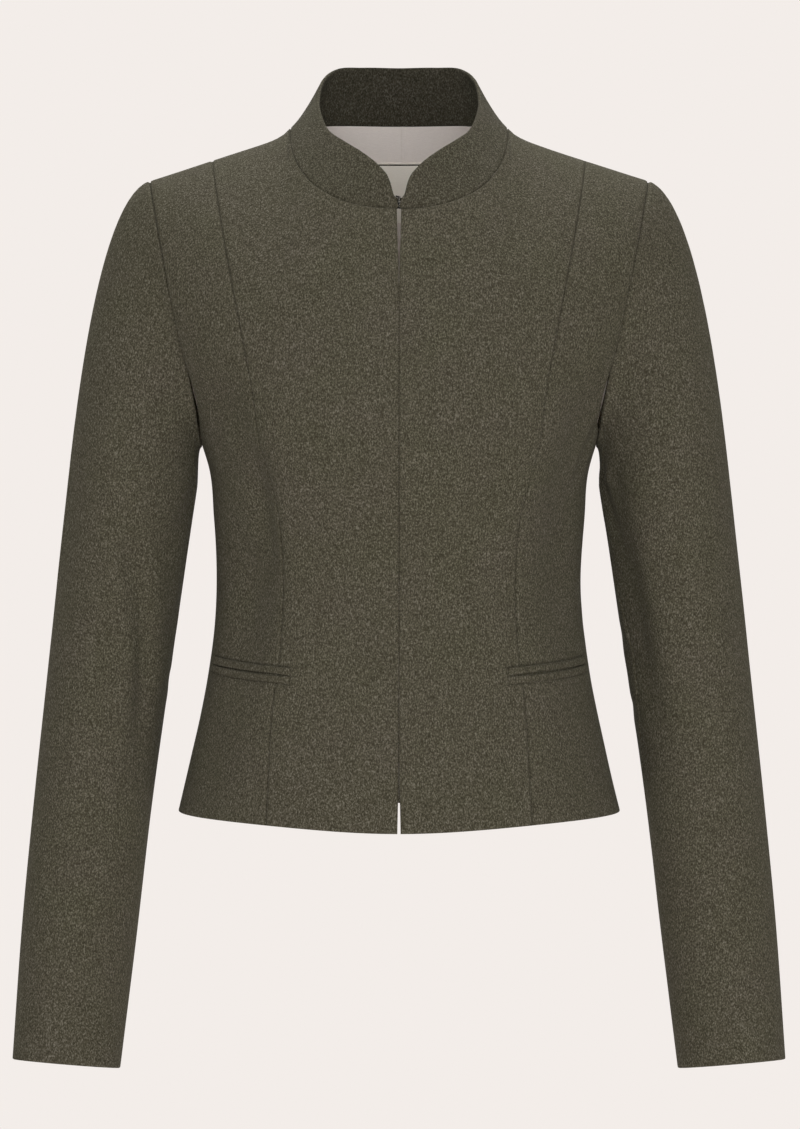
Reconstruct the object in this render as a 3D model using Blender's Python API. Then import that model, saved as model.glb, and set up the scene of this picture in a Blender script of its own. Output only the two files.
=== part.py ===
"""Trachten jacket: a short fitted wool jacket with a stand collar, in its worn, filled-out form.

Metres, +Z up. The front faces -Y and the wearer's left is +X. The origin is the centre of the neck base.
Each cut piece is a thin closed wall. Its outer face lies on one shared body, sleeve or collar surface.
"""
import math
from collections import namedtuple

import bmesh
import bpy
import numpy as np

# Cloth and seams
CLOTH = 0.0022
COLLAR_CLOTH = 0.0030
LINING_CLOTH = 0.0010
LABEL_CLOTH = 0.0008
JET_CLOTH = 0.0010
SEAM_GAP = 0.0003

# Neck and shoulder
NECK_HALF_WIDTH = 0.081
NECK_SIDE_HEIGHT = -0.003
NECK_DROP = 0.0656
NECK_SQUARENESS = 2.3
BACK_NECK_RISE = 0.010
BACK_NECK_FLATNESS = 5.0
NECK_RISE = 0.050
SHOULDER_SLOPE = 0.318
SHOULDER_DIP = 0.0056
SHOULDER_DIP_LENGTH = 0.0062
SHOULDER_HALF_WIDTH = 0.185
SHOULDER_SEAM_Y = 0.006
ROUNDING_AT_NECK = 0.140
ROUNDING_AT_TIP = 0.100

# Hem, centre front and armhole
HEM_HEIGHT = -0.508
HEM_FRONT_DIP = 0.0105
FRONT_GAP = 0.0006
NECK_OPENING = 0.0014
NECK_OPENING_LENGTH = 0.070
HEM_OPENING = 0.0030
HEM_OPENING_LENGTH = 0.045
UNDERARM_HEIGHT = -0.239
FRONT_ARMHOLE_BOW = -0.0025
BACK_ARMHOLE_BOW = 0.0030

# Sleeve
FIRST_RING_HEIGHT = -0.262
SLEEVE_LENGTH = 0.4295
CAP_SHARE = 0.42
CAP_SPACING = 1.25
CAP_START_PULL = (0.40, 0.50)
CAP_END_PULL = (0.80, 0.90)
UNDERARM_TURN = (100.0, 170.0)
CUFF_TILT = 0.10

# Pocket jets
POCKET_INNER_X = 0.081
POCKET_OUTER_ANGLE = math.radians(80.5)
POCKET_INNER_HEIGHT = -0.4048
POCKET_OUTER_HEIGHT = -0.4005
JET_HEIGHT = 0.0057
JET_HALF_GAP = 0.0002
JET_LIFT = 0.0005

# Neck lining, label, hook and eye
LABEL_HALF_WIDTH = 0.030
LABEL_TOP = -0.0190
LABEL_BOTTOM = -0.0645
LABEL_GAP = 0.0005
LINING_GAP = 0.0006
WIRE_RADIUS = 0.0005
HOOK_HEIGHT = -0.0665
HOOK_SEAT_X = 0.0040
HOOK_REACH = 0.0065
HOOK_BEND_RADIUS = 0.0013
HOOK_TIP_X = -0.0030
HOOK_BEND_X = -0.0002
EYE_BAR_X = -0.0008
EYE_RADIUS = 0.0019
BEND_STEPS = 8

# Grid counts
LOWER_ROWS = 8
UPPER_ROWS = 15
CENTRE_SHOULDER_COLUMNS = 3
NECK_COLUMNS = 9
SIDE_COLUMNS = 9
BACK_SHOULDER_COLUMNS = 8
CAP_ROWS = 8
ARM_ROWS = 10
COLLAR_ROWS = 4
JET_COLUMNS = 10
LINING_FIRST_ROW = 6
LINING_COLUMNS = 8
LABEL_COLUMNS = 4
LABEL_ROWS = 3

# Trunk sections, from below the hem to above the shoulder
BodySection = namedtuple("BodySection", "height half_width front_depth back_depth squareness")
BODY_SECTIONS = (
    BodySection(-0.525, 0.1675, 0.1130, 0.1060, 2.3),
    BodySection(-0.470, 0.1546, 0.1080, 0.0990, 2.3),
    BodySection(-0.411, 0.1421, 0.1030, 0.0900, 2.3),
    BodySection(-0.340, 0.1356, 0.1005, 0.0830, 2.3),
    BodySection(-0.290, 0.1377, 0.1085, 0.0885, 2.3),
    BodySection(-0.255, 0.1398, 0.1165, 0.0955, 2.3),
    BodySection(-0.239, 0.1455, 0.1175, 0.0985, 2.4),
    BodySection(-0.189, 0.1647, 0.1130, 0.1060, 2.4),
    BodySection(-0.139, 0.1830, 0.1020, 0.1100, 2.4),
    BodySection(-0.080, 0.2010, 0.0850, 0.1090, 2.4),
    BodySection(-0.010, 0.2060, 0.0660, 0.1000, 2.4),
    BodySection(0.040, 0.2060, 0.0600, 0.0900, 2.4),
)

# Princess seam: half distance from the centre front at each height
SeamRow = namedtuple("SeamRow", "height half_width")
PRINCESS_SEAM = (
    SeamRow(-0.525, 0.0970),
    SeamRow(-0.480, 0.0940),
    SeamRow(-0.410, 0.0868),
    SeamRow(-0.340, 0.0855),
    SeamRow(-0.290, 0.0880),
    SeamRow(-0.239, 0.0985),
    SeamRow(-0.180, 0.1105),
    SeamRow(-0.100, 0.1255),
    SeamRow(0.000, 0.1430),
)

# Large soft hollows of the body, in degrees round from the centre front
BodyFold = namedtuple("BodyFold", "angle height depth wide tall")
BODY_FOLDS = (
    BodyFold(60.0, -0.212, 0.0030, 13.0, 0.030),
    BodyFold(57.0, -0.335, 0.0020, 12.0, 0.055),
    BodyFold(152.0, -0.330, 0.0025, 13.0, 0.060),
)

# Sleeve sections: drop below the first ring, centre and half sizes
SleeveSection = namedtuple("SleeveSection", "drop centre_x centre_y half_width half_depth")
SLEEVE_SECTIONS = (
    SleeveSection(0.0000, 0.1968, 0.004, 0.0477, 0.0560),
    SleeveSection(0.0600, 0.2046, 0.006, 0.0466, 0.0545),
    SleeveSection(0.1500, 0.2160, 0.008, 0.0450, 0.0520),
    SleeveSection(0.2400, 0.2266, 0.002, 0.0435, 0.0490),
    SleeveSection(0.3300, 0.2352, -0.013, 0.0424, 0.0445),
    SleeveSection(0.4295, 0.2436, -0.033, 0.0395, 0.0395),
)

# Sleeve seams in degrees: 0 is outward, 90 front, 180 towards the body, negative behind
SleeveSeam = namedtuple("SleeveSeam", "travel front back")
RIGHT_SLEEVE_SEAMS = (
    SleeveSeam(0.00, 144.0, -72.0),
    SleeveSeam(0.25, 158.0, -22.0),
    SleeveSeam(0.45, 170.0, 20.0),
    SleeveSeam(0.62, 180.0, -2.0),
    SleeveSeam(0.80, 182.0, -28.0),
    SleeveSeam(1.00, 178.0, -34.0),
)
LEFT_SLEEVE_SEAMS = (
    SleeveSeam(0.00, 144.0, -72.0),
    SleeveSeam(0.25, 164.0, -50.0),
    SleeveSeam(0.45, 182.0, -34.0),
    SleeveSeam(0.61, 157.0, -36.0),
    SleeveSeam(0.80, 184.0, -38.0),
    SleeveSeam(1.00, 180.0, -40.0),
)

# Large soft folds of each sleeve, in degrees round as for its seams
SleeveFold = namedtuple("SleeveFold", "angle drop depth wide tall")
RIGHT_SLEEVE_FOLDS = (
    SleeveFold(98.0, 0.120, 0.0024, 13.0, 0.055),
    SleeveFold(265.0, 0.090, 0.0028, 22.0, 0.030),
    SleeveFold(250.0, 0.170, 0.0022, 20.0, 0.026),
)
LEFT_SLEEVE_FOLDS = (
    SleeveFold(136.0, 0.085, 0.0030, 14.0, 0.050),
    SleeveFold(262.0, 0.105, 0.0028, 22.0, 0.030),
    SleeveFold(252.0, 0.190, 0.0020, 20.0, 0.026),
)

# Collar edge at each station: 0 is the centre front, 90 the shoulder, 180 the centre back
CollarEdge = namedtuple("CollarEdge", "station x y z")
COLLAR_EDGE = (
    CollarEdge(0.0, 0.0020, -0.0800, -0.0630),
    CollarEdge(7.0, 0.0066, -0.0770, -0.0480),
    CollarEdge(17.0, 0.0140, -0.0705, -0.0368),
    CollarEdge(30.0, 0.0268, -0.0600, -0.0255),
    CollarEdge(42.0, 0.0395, -0.0500, -0.0167),
    CollarEdge(55.0, 0.0490, -0.0380, -0.0088),
    CollarEdge(73.0, 0.0565, -0.0180, 0.0060),
    CollarEdge(90.0, 0.0600, 0.0060, 0.0200),
    CollarEdge(110.0, 0.0570, 0.0310, 0.0370),
    CollarEdge(130.0, 0.0465, 0.0485, 0.0465),
    CollarEdge(150.0, 0.0280, 0.0575, 0.0483),
    CollarEdge(180.0, 0.0000, 0.0600, 0.0483),
)
COLLAR_HOLLOW = 0.0004
COLLAR_END_STATION = 25.0
COLLAR_GAP = 0.0005
COLLAR_MITRE = 0.25

# Finishes
WOOL_COLOUR = (0.078, 0.070, 0.047, 1.0)
LINING_COLOUR = (0.42, 0.37, 0.34, 1.0)
LABEL_COLOUR = (0.41, 0.38, 0.32, 1.0)
WIRE_COLOUR = (0.02, 0.02, 0.02, 1.0)
WOOL_ROUGHNESS = 0.92
LINING_ROUGHNESS = 0.45
LABEL_ROUGHNESS = 0.60
WIRE_ROUGHNESS = 0.35

RIGHT = -1.0
LEFT = 1.0


def smooth(table, column, at):
    """Read a named column of a table at any place, on a smooth curve through its rows."""
    places = np.array([row[0] for row in table])
    values = np.array([getattr(row, column) for row in table])
    slopes = np.gradient(values, places)
    at = np.clip(at, places[0], places[-1])
    low = np.clip(np.searchsorted(places, at) - 1, 0, len(places) - 2)
    span = places[low + 1] - places[low]
    t = (at - places[low]) / span
    start = (1 + 2 * t) * (1 - t) ** 2 * values[low] + t * (1 - t) ** 2 * span * slopes[low]
    end = t * t * (3 - 2 * t) * values[low + 1] + t * t * (t - 1) * span * slopes[low + 1]
    return start + end


def ease(low, high, at):
    """Rise softly from 0 at low to 1 at high."""
    t = np.clip((at - low) / (high - low), 0.0, 1.0)
    return t * t * (3 - 2 * t)


def unit(vectors):
    return vectors / np.linalg.norm(vectors, axis=-1, keepdims=True)


def bump(distance, size):
    """A soft bell that is 1 in the middle and fades out over about twice its size."""
    return np.exp(-((distance / size) ** 2))


# Body surface

def shoulder_height(x):
    """Height of the shoulder line over each half distance, carried on up the neck inside the collar."""
    past_neck = np.maximum(x - NECK_HALF_WIDTH, 0.0)
    rise = NECK_RISE * (1.0 - np.minimum(x / NECK_HALF_WIDTH, 1.0) ** 2)
    dip = SHOULDER_DIP * (1.0 - np.exp(-past_neck / SHOULDER_DIP_LENGTH))
    return NECK_SIDE_HEIGHT - SHOULDER_SLOPE * past_neck - dip + rise


def trunk_depth(x, height, front):
    """Distance of the trunk's front or back face from the middle plane."""
    half_width = smooth(BODY_SECTIONS, "half_width", height)
    depth = smooth(BODY_SECTIONS, "front_depth" if front else "back_depth", height)
    power = smooth(BODY_SECTIONS, "squareness", height)
    share = np.clip(x / half_width, 0.0, 1.0)
    return depth * (1.0 - share ** power) ** (1.0 / power)


def angle_at(x, height, front):
    """Angle round the body, from the centre front, of a point at this half distance."""
    angle = np.arctan2(x, trunk_depth(x, height, front))
    return angle if front else math.pi - angle


def body_point(angle, height):
    """Outer face of the body at angles round from the centre front, on the wearer's left half."""
    sine = np.abs(np.sin(angle))
    cosine = np.cos(angle)
    front = cosine > 0.0
    half_width = smooth(BODY_SECTIONS, "half_width", height)
    front_depth = smooth(BODY_SECTIONS, "front_depth", height)
    back_depth = smooth(BODY_SECTIONS, "back_depth", height)
    power = smooth(BODY_SECTIONS, "squareness", height)
    depth = np.where(front, front_depth, back_depth)
    radius = ((sine / half_width) ** power + (np.abs(cosine) / depth) ** power) ** (-1.0 / power)
    for fold in BODY_FOLDS:
        across = bump(np.degrees(angle) - fold.angle, fold.wide)
        radius = radius - fold.depth * across * bump(height - fold.height, fold.tall)
    x = radius * np.sin(angle)
    y = -radius * cosine
    beyond_neck = np.clip(np.abs(x) - NECK_HALF_WIDTH, 0.0, None) / (SHOULDER_HALF_WIDTH - NECK_HALF_WIDTH)
    rounding = ROUNDING_AT_NECK + (ROUNDING_AT_TIP - ROUNDING_AT_NECK) * np.clip(beyond_neck, 0.0, 1.0)
    share = np.clip((shoulder_height(np.abs(x)) - height) / rounding, 0.0, 1.0)
    fullness = np.sqrt(1.0 - (1.0 - share) ** 2)
    seam_y = SHOULDER_SEAM_Y + np.where(front, -SEAM_GAP / 2, SEAM_GAP / 2)
    y = np.where(share < 1.0, seam_y + (y - seam_y) * fullness, y)
    return np.stack([x, y, height + 0.0 * x], axis=-1)


def body_normal(angle, height):
    """Outward direction of the body surface."""
    step_angle = 1e-4
    step_height = 2e-4
    around = body_point(angle + step_angle, height) - body_point(angle - step_angle, height)
    upward = body_point(angle, height) - body_point(angle, height - step_height)
    return unit(np.cross(around, upward))


def front_half_gap(height):
    """Half the gap between the two fronts: a little open at the neck and at the hem."""
    at_neck = NECK_OPENING * ease(-NECK_DROP - NECK_OPENING_LENGTH, -NECK_DROP, height)
    at_hem = HEM_OPENING * ease(HEM_HEIGHT + HEM_OPENING_LENGTH, HEM_HEIGHT - HEM_FRONT_DIP, height)
    return 0.5 * (FRONT_GAP + at_neck + at_hem)


def hem_height(angle):
    """The hem dips a little towards the centre front."""
    return HEM_HEIGHT - HEM_FRONT_DIP * np.clip(np.cos(angle), 0.0, None) ** 2


def neck_place(station):
    """Half distance and height of the neck seam at stations from 0, centre front, to 180, centre back."""
    turn = np.radians(station)
    sine = np.clip(np.sin(turn), 0.0, 1.0)
    cosine = np.abs(np.cos(turn))
    front = station <= 90.0
    x = NECK_HALF_WIDTH * np.where(front, sine ** (2.0 / NECK_SQUARENESS), sine)
    drop = NECK_DROP * cosine ** (2.0 / NECK_SQUARENESS)
    rise = BACK_NECK_RISE * (1.0 - (x / NECK_HALF_WIDTH) ** BACK_NECK_FLATNESS)
    height = NECK_SIDE_HEIGHT + np.where(front, -drop, rise)
    start = front_half_gap(np.array(NECK_SIDE_HEIGHT - NECK_DROP))
    return np.where(front, np.maximum(x, start), np.maximum(x, SEAM_GAP / 2)), height


def armhole_place(turn):
    """Angle and height of the armhole: turn 0 at the shoulder tip, 180 at the underarm, negative behind."""
    tip = shoulder_height(np.array(SHOULDER_HALF_WIDTH))
    share = 0.5 * (1.0 + np.cos(np.radians(turn)))
    height = UNDERARM_HEIGHT + (tip - UNDERARM_HEIGHT) * share
    underarm = smooth(BODY_SECTIONS, "half_width", np.array(UNDERARM_HEIGHT))
    front = turn >= 0.0
    bow = np.where(front, FRONT_ARMHOLE_BOW, BACK_ARMHOLE_BOW) * np.sin(math.pi * share)
    x = underarm + (SHOULDER_HALF_WIDTH - underarm) * share + bow
    angle = np.where(front, angle_at(x, height, True), angle_at(x, height, False))
    return angle, height


# Panel grids in angle and height

def rows_below(seam):
    """Angle and height along a seam from the hem up to the underarm level."""
    heights = np.linspace(HEM_HEIGHT, UNDERARM_HEIGHT, LOWER_ROWS + 1)
    return np.array([seam(height) for height in heights])


def rows_above(seam, top):
    """Angle and height along a seam from the underarm level to its top, closer together near the top."""
    shares = np.sin(np.linspace(0.0, math.pi / 2, UPPER_ROWS + 1))
    heights = UNDERARM_HEIGHT + (top - UNDERARM_HEIGHT) * shares
    return np.array([(seam(height)[0], height) for height in heights])


def armhole_rows(front):
    """Angle and height up the armhole from the underarm to the shoulder tip."""
    turns = np.linspace(180.0, 0.0, UPPER_ROWS + 1)
    if not front:
        turns = -np.where(turns == 0.0, 1e-9, turns)
    angle, height = armhole_place(turns)
    return np.stack([angle, height], axis=-1)


def lower_block(left, right, columns):
    """Places between two seams below the underarm, with the hem's dip fading out upwards."""
    u = np.linspace(0.0, 1.0, columns + 1)
    angle = left[:, :1] * (1 - u) + right[:, :1] * u
    rise = np.linspace(0.0, 1.0, len(left))[:, None]
    height = hem_height(angle) * (1 - rise) + UNDERARM_HEIGHT * rise
    return np.stack([angle, height], axis=-1)


def upper_block(left, right, top):
    """Places inside four edges: a line at the underarm level, two seams and the top edge."""
    columns = len(top) - 1
    u = np.linspace(0.0, 1.0, columns + 1)[None, :, None]
    v = np.linspace(0.0, 1.0, len(left))[:, None, None]
    bottom = (1 - u[0]) * left[0] + u[0] * right[0]
    across = (1 - u) * left[:, None] + u * right[:, None]
    upward = (1 - v) * bottom[None] + v * top[None]
    corners = (1 - v) * ((1 - u) * left[0] + u * right[0]) + v * ((1 - u) * left[-1] + u * right[-1])
    return across + upward - corners


def panel_grid(left_seam, right_seam, left_top, right_rows, top):
    """Angle and height of every grid point of a panel, from the hem to its top edge."""
    columns = len(top) - 1
    low = lower_block(rows_below(left_seam), rows_below(right_seam), columns)
    left = rows_above(left_seam, left_top)
    left[-1] = top[0]
    high = upper_block(left, right_rows, top)
    return np.concatenate([low[:-1], high])


def front_edge(height):
    """Centre front edge of a front panel."""
    half_gap = front_half_gap(np.array(height))
    return float(angle_at(half_gap, np.array(height), True)), height


def princess_seam(height, shift):
    """Seam between the centre front and the side front."""
    x = smooth(PRINCESS_SEAM, "half_width", np.array(height)) + shift
    return float(angle_at(x, np.array(height), True)), height


def side_seam(height, shift):
    """Seam under the arm between front and back."""
    half_width = smooth(BODY_SECTIONS, "half_width", np.array(height))
    return math.pi / 2 + shift / float(half_width), height


def centre_back(height):
    """Seam down the middle of the back."""
    return float(angle_at(np.array(SEAM_GAP / 2), np.array(height), False)), height


def princess_top(shift):
    """Half distance at which the princess seam meets the shoulder line."""
    x = smooth(PRINCESS_SEAM, "half_width", np.array(0.0))
    for _ in range(20):
        x = smooth(PRINCESS_SEAM, "half_width", shoulder_height(x))
    return float(x) + shift


def top_edge(x, height, front):
    """Angle and height of points on a panel's top edge."""
    return np.stack([angle_at(x, height, front), height], axis=-1)


def shoulder_edge(start, end, columns, front):
    x = np.linspace(start, end, columns + 1)
    return top_edge(x, shoulder_height(x), front)


def centre_front_grid():
    half_gap = SEAM_GAP / 2
    neck_x, neck_height = neck_place(np.linspace(0.0, 90.0, NECK_COLUMNS + 1))
    neck = top_edge(neck_x, neck_height, True)
    seam_top = princess_top(-half_gap)
    shoulder = shoulder_edge(NECK_HALF_WIDTH, seam_top, CENTRE_SHOULDER_COLUMNS, True)
    top = np.concatenate([neck[:-1], shoulder])
    right = rows_above(lambda z: princess_seam(z, -half_gap), top[-1, 1])
    right[-1] = top[-1]
    return panel_grid(front_edge, lambda z: princess_seam(z, -half_gap), top[0, 1], right, top)


def side_front_grid():
    half_gap = SEAM_GAP / 2
    top = shoulder_edge(princess_top(half_gap), SHOULDER_HALF_WIDTH, SIDE_COLUMNS, True)
    right = armhole_rows(True)
    right[-1] = top[-1]
    right[0, 0] = side_seam(UNDERARM_HEIGHT, -half_gap)[0]
    return panel_grid(
        lambda z: princess_seam(z, half_gap), lambda z: side_seam(z, -half_gap), top[0, 1], right, top
    )


def back_grid():
    half_gap = SEAM_GAP / 2
    neck_x, neck_height = neck_place(np.linspace(180.0, 90.0 + 1e-6, NECK_COLUMNS + 1))
    neck = top_edge(neck_x, neck_height, False)
    shoulder = shoulder_edge(NECK_HALF_WIDTH, SHOULDER_HALF_WIDTH, BACK_SHOULDER_COLUMNS, False)
    top = np.concatenate([neck[:-1], shoulder])
    right = armhole_rows(False)
    right[-1] = top[-1]
    right[0, 0] = side_seam(UNDERARM_HEIGHT, half_gap)[0]
    return panel_grid(centre_back, lambda z: side_seam(z, half_gap), top[0, 1], right, top)


# Sleeve surface

def armhole_frame(turn):
    """Points of the armhole edge and the direction in which the sleeve leaves it."""
    wrapped = np.where(turn > 180.0, turn - 360.0, turn)
    angle, height = armhole_place(wrapped)
    step = 0.05
    later = np.where(wrapped + step > 180.0, wrapped + step - 360.0, wrapped + step)
    earlier = np.where(wrapped - step < -180.0, wrapped - step + 360.0, wrapped - step)
    edge = unit(body_point(*armhole_place(later)) - body_point(*armhole_place(earlier)))
    away = unit(np.cross(body_normal(angle, height), edge))
    outward = np.array([1.0, 0.0, 0.0])
    turn_share = ease(*UNDERARM_TURN, np.abs(wrapped))[..., None]
    return body_point(angle, height), unit(away * (1 - turn_share) + outward * turn_share)


def arm_point(turn, drop, folds):
    """Sleeve surface below the underarm."""
    centre_x = smooth(SLEEVE_SECTIONS, "centre_x", drop)
    centre_y = smooth(SLEEVE_SECTIONS, "centre_y", drop)
    half_width = smooth(SLEEVE_SECTIONS, "half_width", drop)
    half_depth = smooth(SLEEVE_SECTIONS, "half_depth", drop)
    for fold in folds:
        apart = np.mod(turn - fold.angle + 180.0, 360.0) - 180.0
        dent = fold.depth * bump(apart, fold.wide) * bump(drop - fold.drop, fold.tall)
        half_width = half_width - dent
        half_depth = half_depth - dent
    step = np.where(drop > 0.5 * SLEEVE_LENGTH, -1e-3, 1e-3)
    lean = (smooth(SLEEVE_SECTIONS, "centre_x", drop + step) - centre_x) / step
    across = np.cos(np.radians(turn)) * half_width
    forward = np.sin(np.radians(turn)) * half_depth
    stretch = np.sqrt(1.0 + lean ** 2)
    x = centre_x + across / stretch
    z = FIRST_RING_HEIGHT - drop + across * lean / stretch
    z = z + forward * CUFF_TILT * ease(0.0, SLEEVE_LENGTH, drop)
    return np.stack([x, centre_y - forward, z], axis=-1)


def sleeve_point(turn, travel, folds):
    """Sleeve surface from the armhole, travel 0, to the cuff, travel 1."""
    start, away = armhole_frame(turn)
    start = start + SEAM_GAP * away
    ring = arm_point(turn, np.zeros_like(travel), folds)
    step_drop = 2e-3
    below = arm_point(turn, np.full_like(travel, step_drop), folds)
    chord = np.linalg.norm(ring - start, axis=-1, keepdims=True)
    height_share = (0.5 * (1.0 + np.cos(np.radians(turn))))[..., None]
    start_pull = CAP_START_PULL[0] + (CAP_START_PULL[1] - CAP_START_PULL[0]) * height_share
    end_pull = CAP_END_PULL[0] + (CAP_END_PULL[1] - CAP_END_PULL[0]) * height_share
    t = np.clip(travel / CAP_SHARE, 0.0, 1.0)[..., None] ** CAP_SPACING
    cap = (1 + 2 * t) * (1 - t) ** 2 * start + t * (1 - t) ** 2 * chord * start_pull * away
    cap = cap + t * t * (3 - 2 * t) * ring + t * t * (t - 1) * chord * end_pull * unit(below - ring)
    drop = SLEEVE_LENGTH * np.clip((travel - CAP_SHARE) / (1.0 - CAP_SHARE), 0.0, 1.0)
    return np.where((travel <= CAP_SHARE)[..., None], cap, arm_point(turn, drop, folds))


def sleeve_normal(turn, travel, folds):
    """Outward direction of the sleeve surface."""
    step_turn = 0.2
    step_travel = np.where(travel > 0.5, -2e-3, 2e-3)
    around = sleeve_point(turn + step_turn, travel, folds) - sleeve_point(turn - step_turn, travel, folds)
    along = sleeve_point(turn, travel + step_travel, folds) - sleeve_point(turn, travel, folds)
    return unit(np.cross(around, along * np.sign(step_travel)[..., None]))


def sleeve_grid(seams, upper):
    """Turn and travel of every grid point of an upper or under sleeve."""
    cap = np.linspace(0.0, CAP_SHARE, CAP_ROWS + 1)
    arm = np.linspace(CAP_SHARE, 1.0, ARM_ROWS + 1)
    travel = np.concatenate([cap, arm[1:]])
    narrowest = SLEEVE_SECTIONS[-1].half_depth
    trim = math.degrees(SEAM_GAP / 2 / narrowest)
    front = smooth(seams, "front", travel)
    back = smooth(seams, "back", travel)
    start = back + trim if upper else front + trim
    end = front - trim if upper else back + 360.0 - trim
    sweep = seams[0].front - seams[0].back
    step = 180.0 / UPPER_ROWS
    columns = round((sweep if upper else 360.0 - sweep) / step)
    u = np.linspace(0.0, 1.0, columns + 1)
    turn = start[:, None] * (1 - u) + end[:, None] * u
    return turn, np.broadcast_to(travel[:, None], turn.shape)


# Collar surface

def neck_seam(place):
    """Station, points and outward directions of the neck seam, from -1, right front end, over 0 to 1."""
    station = 180.0 * (1.0 - np.abs(place))
    x, height = neck_place(station)
    angle = np.where(station <= 90.0, angle_at(x, height, True), angle_at(x, height, False))
    return station, body_point(angle, height), body_normal(angle, height)


def collar_point(place, rise):
    """Collar face: place runs round the neck seam, rise goes from the seam to the edge."""
    station, seam, _ = neck_seam(place)
    edge = np.stack([smooth(COLLAR_EDGE, axis, station) for axis in "xyz"], axis=-1)
    seam = seam + COLLAR_GAP * unit(edge - seam)
    inward = edge * np.array([-1.0, -1.0, 0.0]) + np.array([0.0, SHOULDER_SEAM_Y, 0.0])
    hollow = COLLAR_HOLLOW * np.sin(math.pi * rise) * ease(0.0, COLLAR_END_STATION, station)
    share = rise[..., None]
    point = seam * (1 - share) + edge * share + hollow[..., None] * unit(inward)
    side = np.where(place < 0.0, RIGHT, LEFT)
    return point * np.stack([side, np.ones_like(side), np.ones_like(side)], axis=-1)


def collar_normal(place, rise):
    """Outward direction of the collar face."""
    step_place = np.where(place > 0.0, -2e-3, 2e-3)
    step_rise = np.where(rise > 0.5, -1e-3, 1e-3)
    here = collar_point(place, rise)
    around = (collar_point(place + step_place, rise) - here) * np.sign(step_place)[..., None]
    upward = (collar_point(place, rise + step_rise) - here) * np.sign(step_rise)[..., None]
    face = -unit(np.cross(around, upward))
    seam = neck_seam(place)[2]
    side = np.where(place < 0.0, RIGHT, LEFT)
    seam = seam * np.stack([side, np.ones_like(side), np.ones_like(side)], axis=-1)
    share = ease(0.0, COLLAR_MITRE, rise)[..., None]
    return unit(seam * (1 - share) + face * share)


# Building

def finish(name, colour, roughness):
    """A plain Principled material."""
    material = bpy.data.materials.new(name)
    material.use_nodes = True
    shader = material.node_tree.nodes["Principled BSDF"]
    shader.inputs["Base Color"].default_value = colour
    shader.inputs["Roughness"].default_value = roughness
    return material


def cloth_wall(name, outer, inner, material, collection):
    """One closed wall between an outer and an inner grid of points."""
    rows = outer.shape[0] - 1
    columns = outer.shape[1] - 1
    form = bmesh.new()
    bmesh.ops.create_grid(form, x_segments=columns, y_segments=rows, size=0.5)
    second = bmesh.ops.extrude_face_region(form, geom=form.faces[:], use_keep_orig=True)
    for item in second["geom"]:
        if isinstance(item, bmesh.types.BMVert):
            item.co.z = 1.0
    for vertex in form.verts:
        column = round((vertex.co.x + 0.5) * columns)
        row = round((vertex.co.y + 0.5) * rows)
        vertex.co = inner[row, column] if vertex.co.z > 0.5 else outer[row, column]
    bmesh.ops.recalc_face_normals(form, faces=form.faces[:])
    if form.calc_volume(signed=True) < 0.0:
        bmesh.ops.reverse_faces(form, faces=form.faces[:])
    mesh = bpy.data.meshes.new(name)
    form.to_mesh(mesh)
    form.free()
    mesh.materials.append(material)
    mesh.shade_smooth()
    piece = bpy.data.objects.new(name, mesh)
    collection.objects.link(piece)


def mirrored(points, side):
    return points * np.array([side, 1.0, 1.0])


def body_panel(name, grid, side, material, collection):
    """A body panel: its grid on the body surface, with the wall on the inside."""
    angle = grid[..., 0]
    height = grid[..., 1]
    outer = body_point(angle, height)
    inner = outer - CLOTH * body_normal(angle, height)
    cloth_wall(name, mirrored(outer, side), mirrored(inner, side), material, collection)


def sleeve_panel(name, seams, folds, upper, side, material, collection):
    """An upper or under sleeve, with the wall on the inside."""
    turn, travel = sleeve_grid(seams, upper)
    outer = sleeve_point(turn, travel, folds)
    inner = outer - CLOTH * sleeve_normal(turn, travel, folds)
    cloth_wall(name, mirrored(outer, side), mirrored(inner, side), material, collection)


def collar_band(material, collection):
    """The stand collar from one front end round the back to the other."""
    place = np.linspace(-1.0, 1.0, 4 * NECK_COLUMNS + 1)
    rise = np.linspace(0.0, 1.0, COLLAR_ROWS + 1)
    place, rise = np.meshgrid(place, rise)
    outer = collar_point(place, rise)
    inner = outer - COLLAR_CLOTH * collar_normal(place, rise)
    cloth_wall("collar", outer, inner, material, collection)


def pocket_jet(name, low, high, side, material, collection):
    """One narrow welt of a pocket, lying on the body surface."""
    inner_height = np.array(POCKET_INNER_HEIGHT)
    start = float(angle_at(np.array(POCKET_INNER_X), inner_height, True))
    u, v = np.meshgrid(np.linspace(0.0, 1.0, JET_COLUMNS + 1), np.array([0.0, 1.0]))
    angle = start + (POCKET_OUTER_ANGLE - start) * u
    middle = POCKET_INNER_HEIGHT + (POCKET_OUTER_HEIGHT - POCKET_INNER_HEIGHT) * u
    height = middle + low + (high - low) * v
    face = body_point(angle, height)
    normal = body_normal(angle, height)
    outer = face + (JET_LIFT + JET_CLOTH) * normal
    inner = face + JET_LIFT * normal
    cloth_wall(name, mirrored(outer, side), mirrored(inner, side), material, collection)


def across_back(grid, depth):
    """Both halves of a back grid as one, this deep below the outer face, joined at the centre back."""
    angle = grid[..., 0]
    height = grid[..., 1]
    half = body_point(angle, height) - depth * body_normal(angle, height)
    middle = half[:, :1] * np.array([0.0, 1.0, 1.0])
    return np.concatenate([mirrored(half[:, :0:-1], RIGHT), middle, half[:, 1:]], axis=1)


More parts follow.
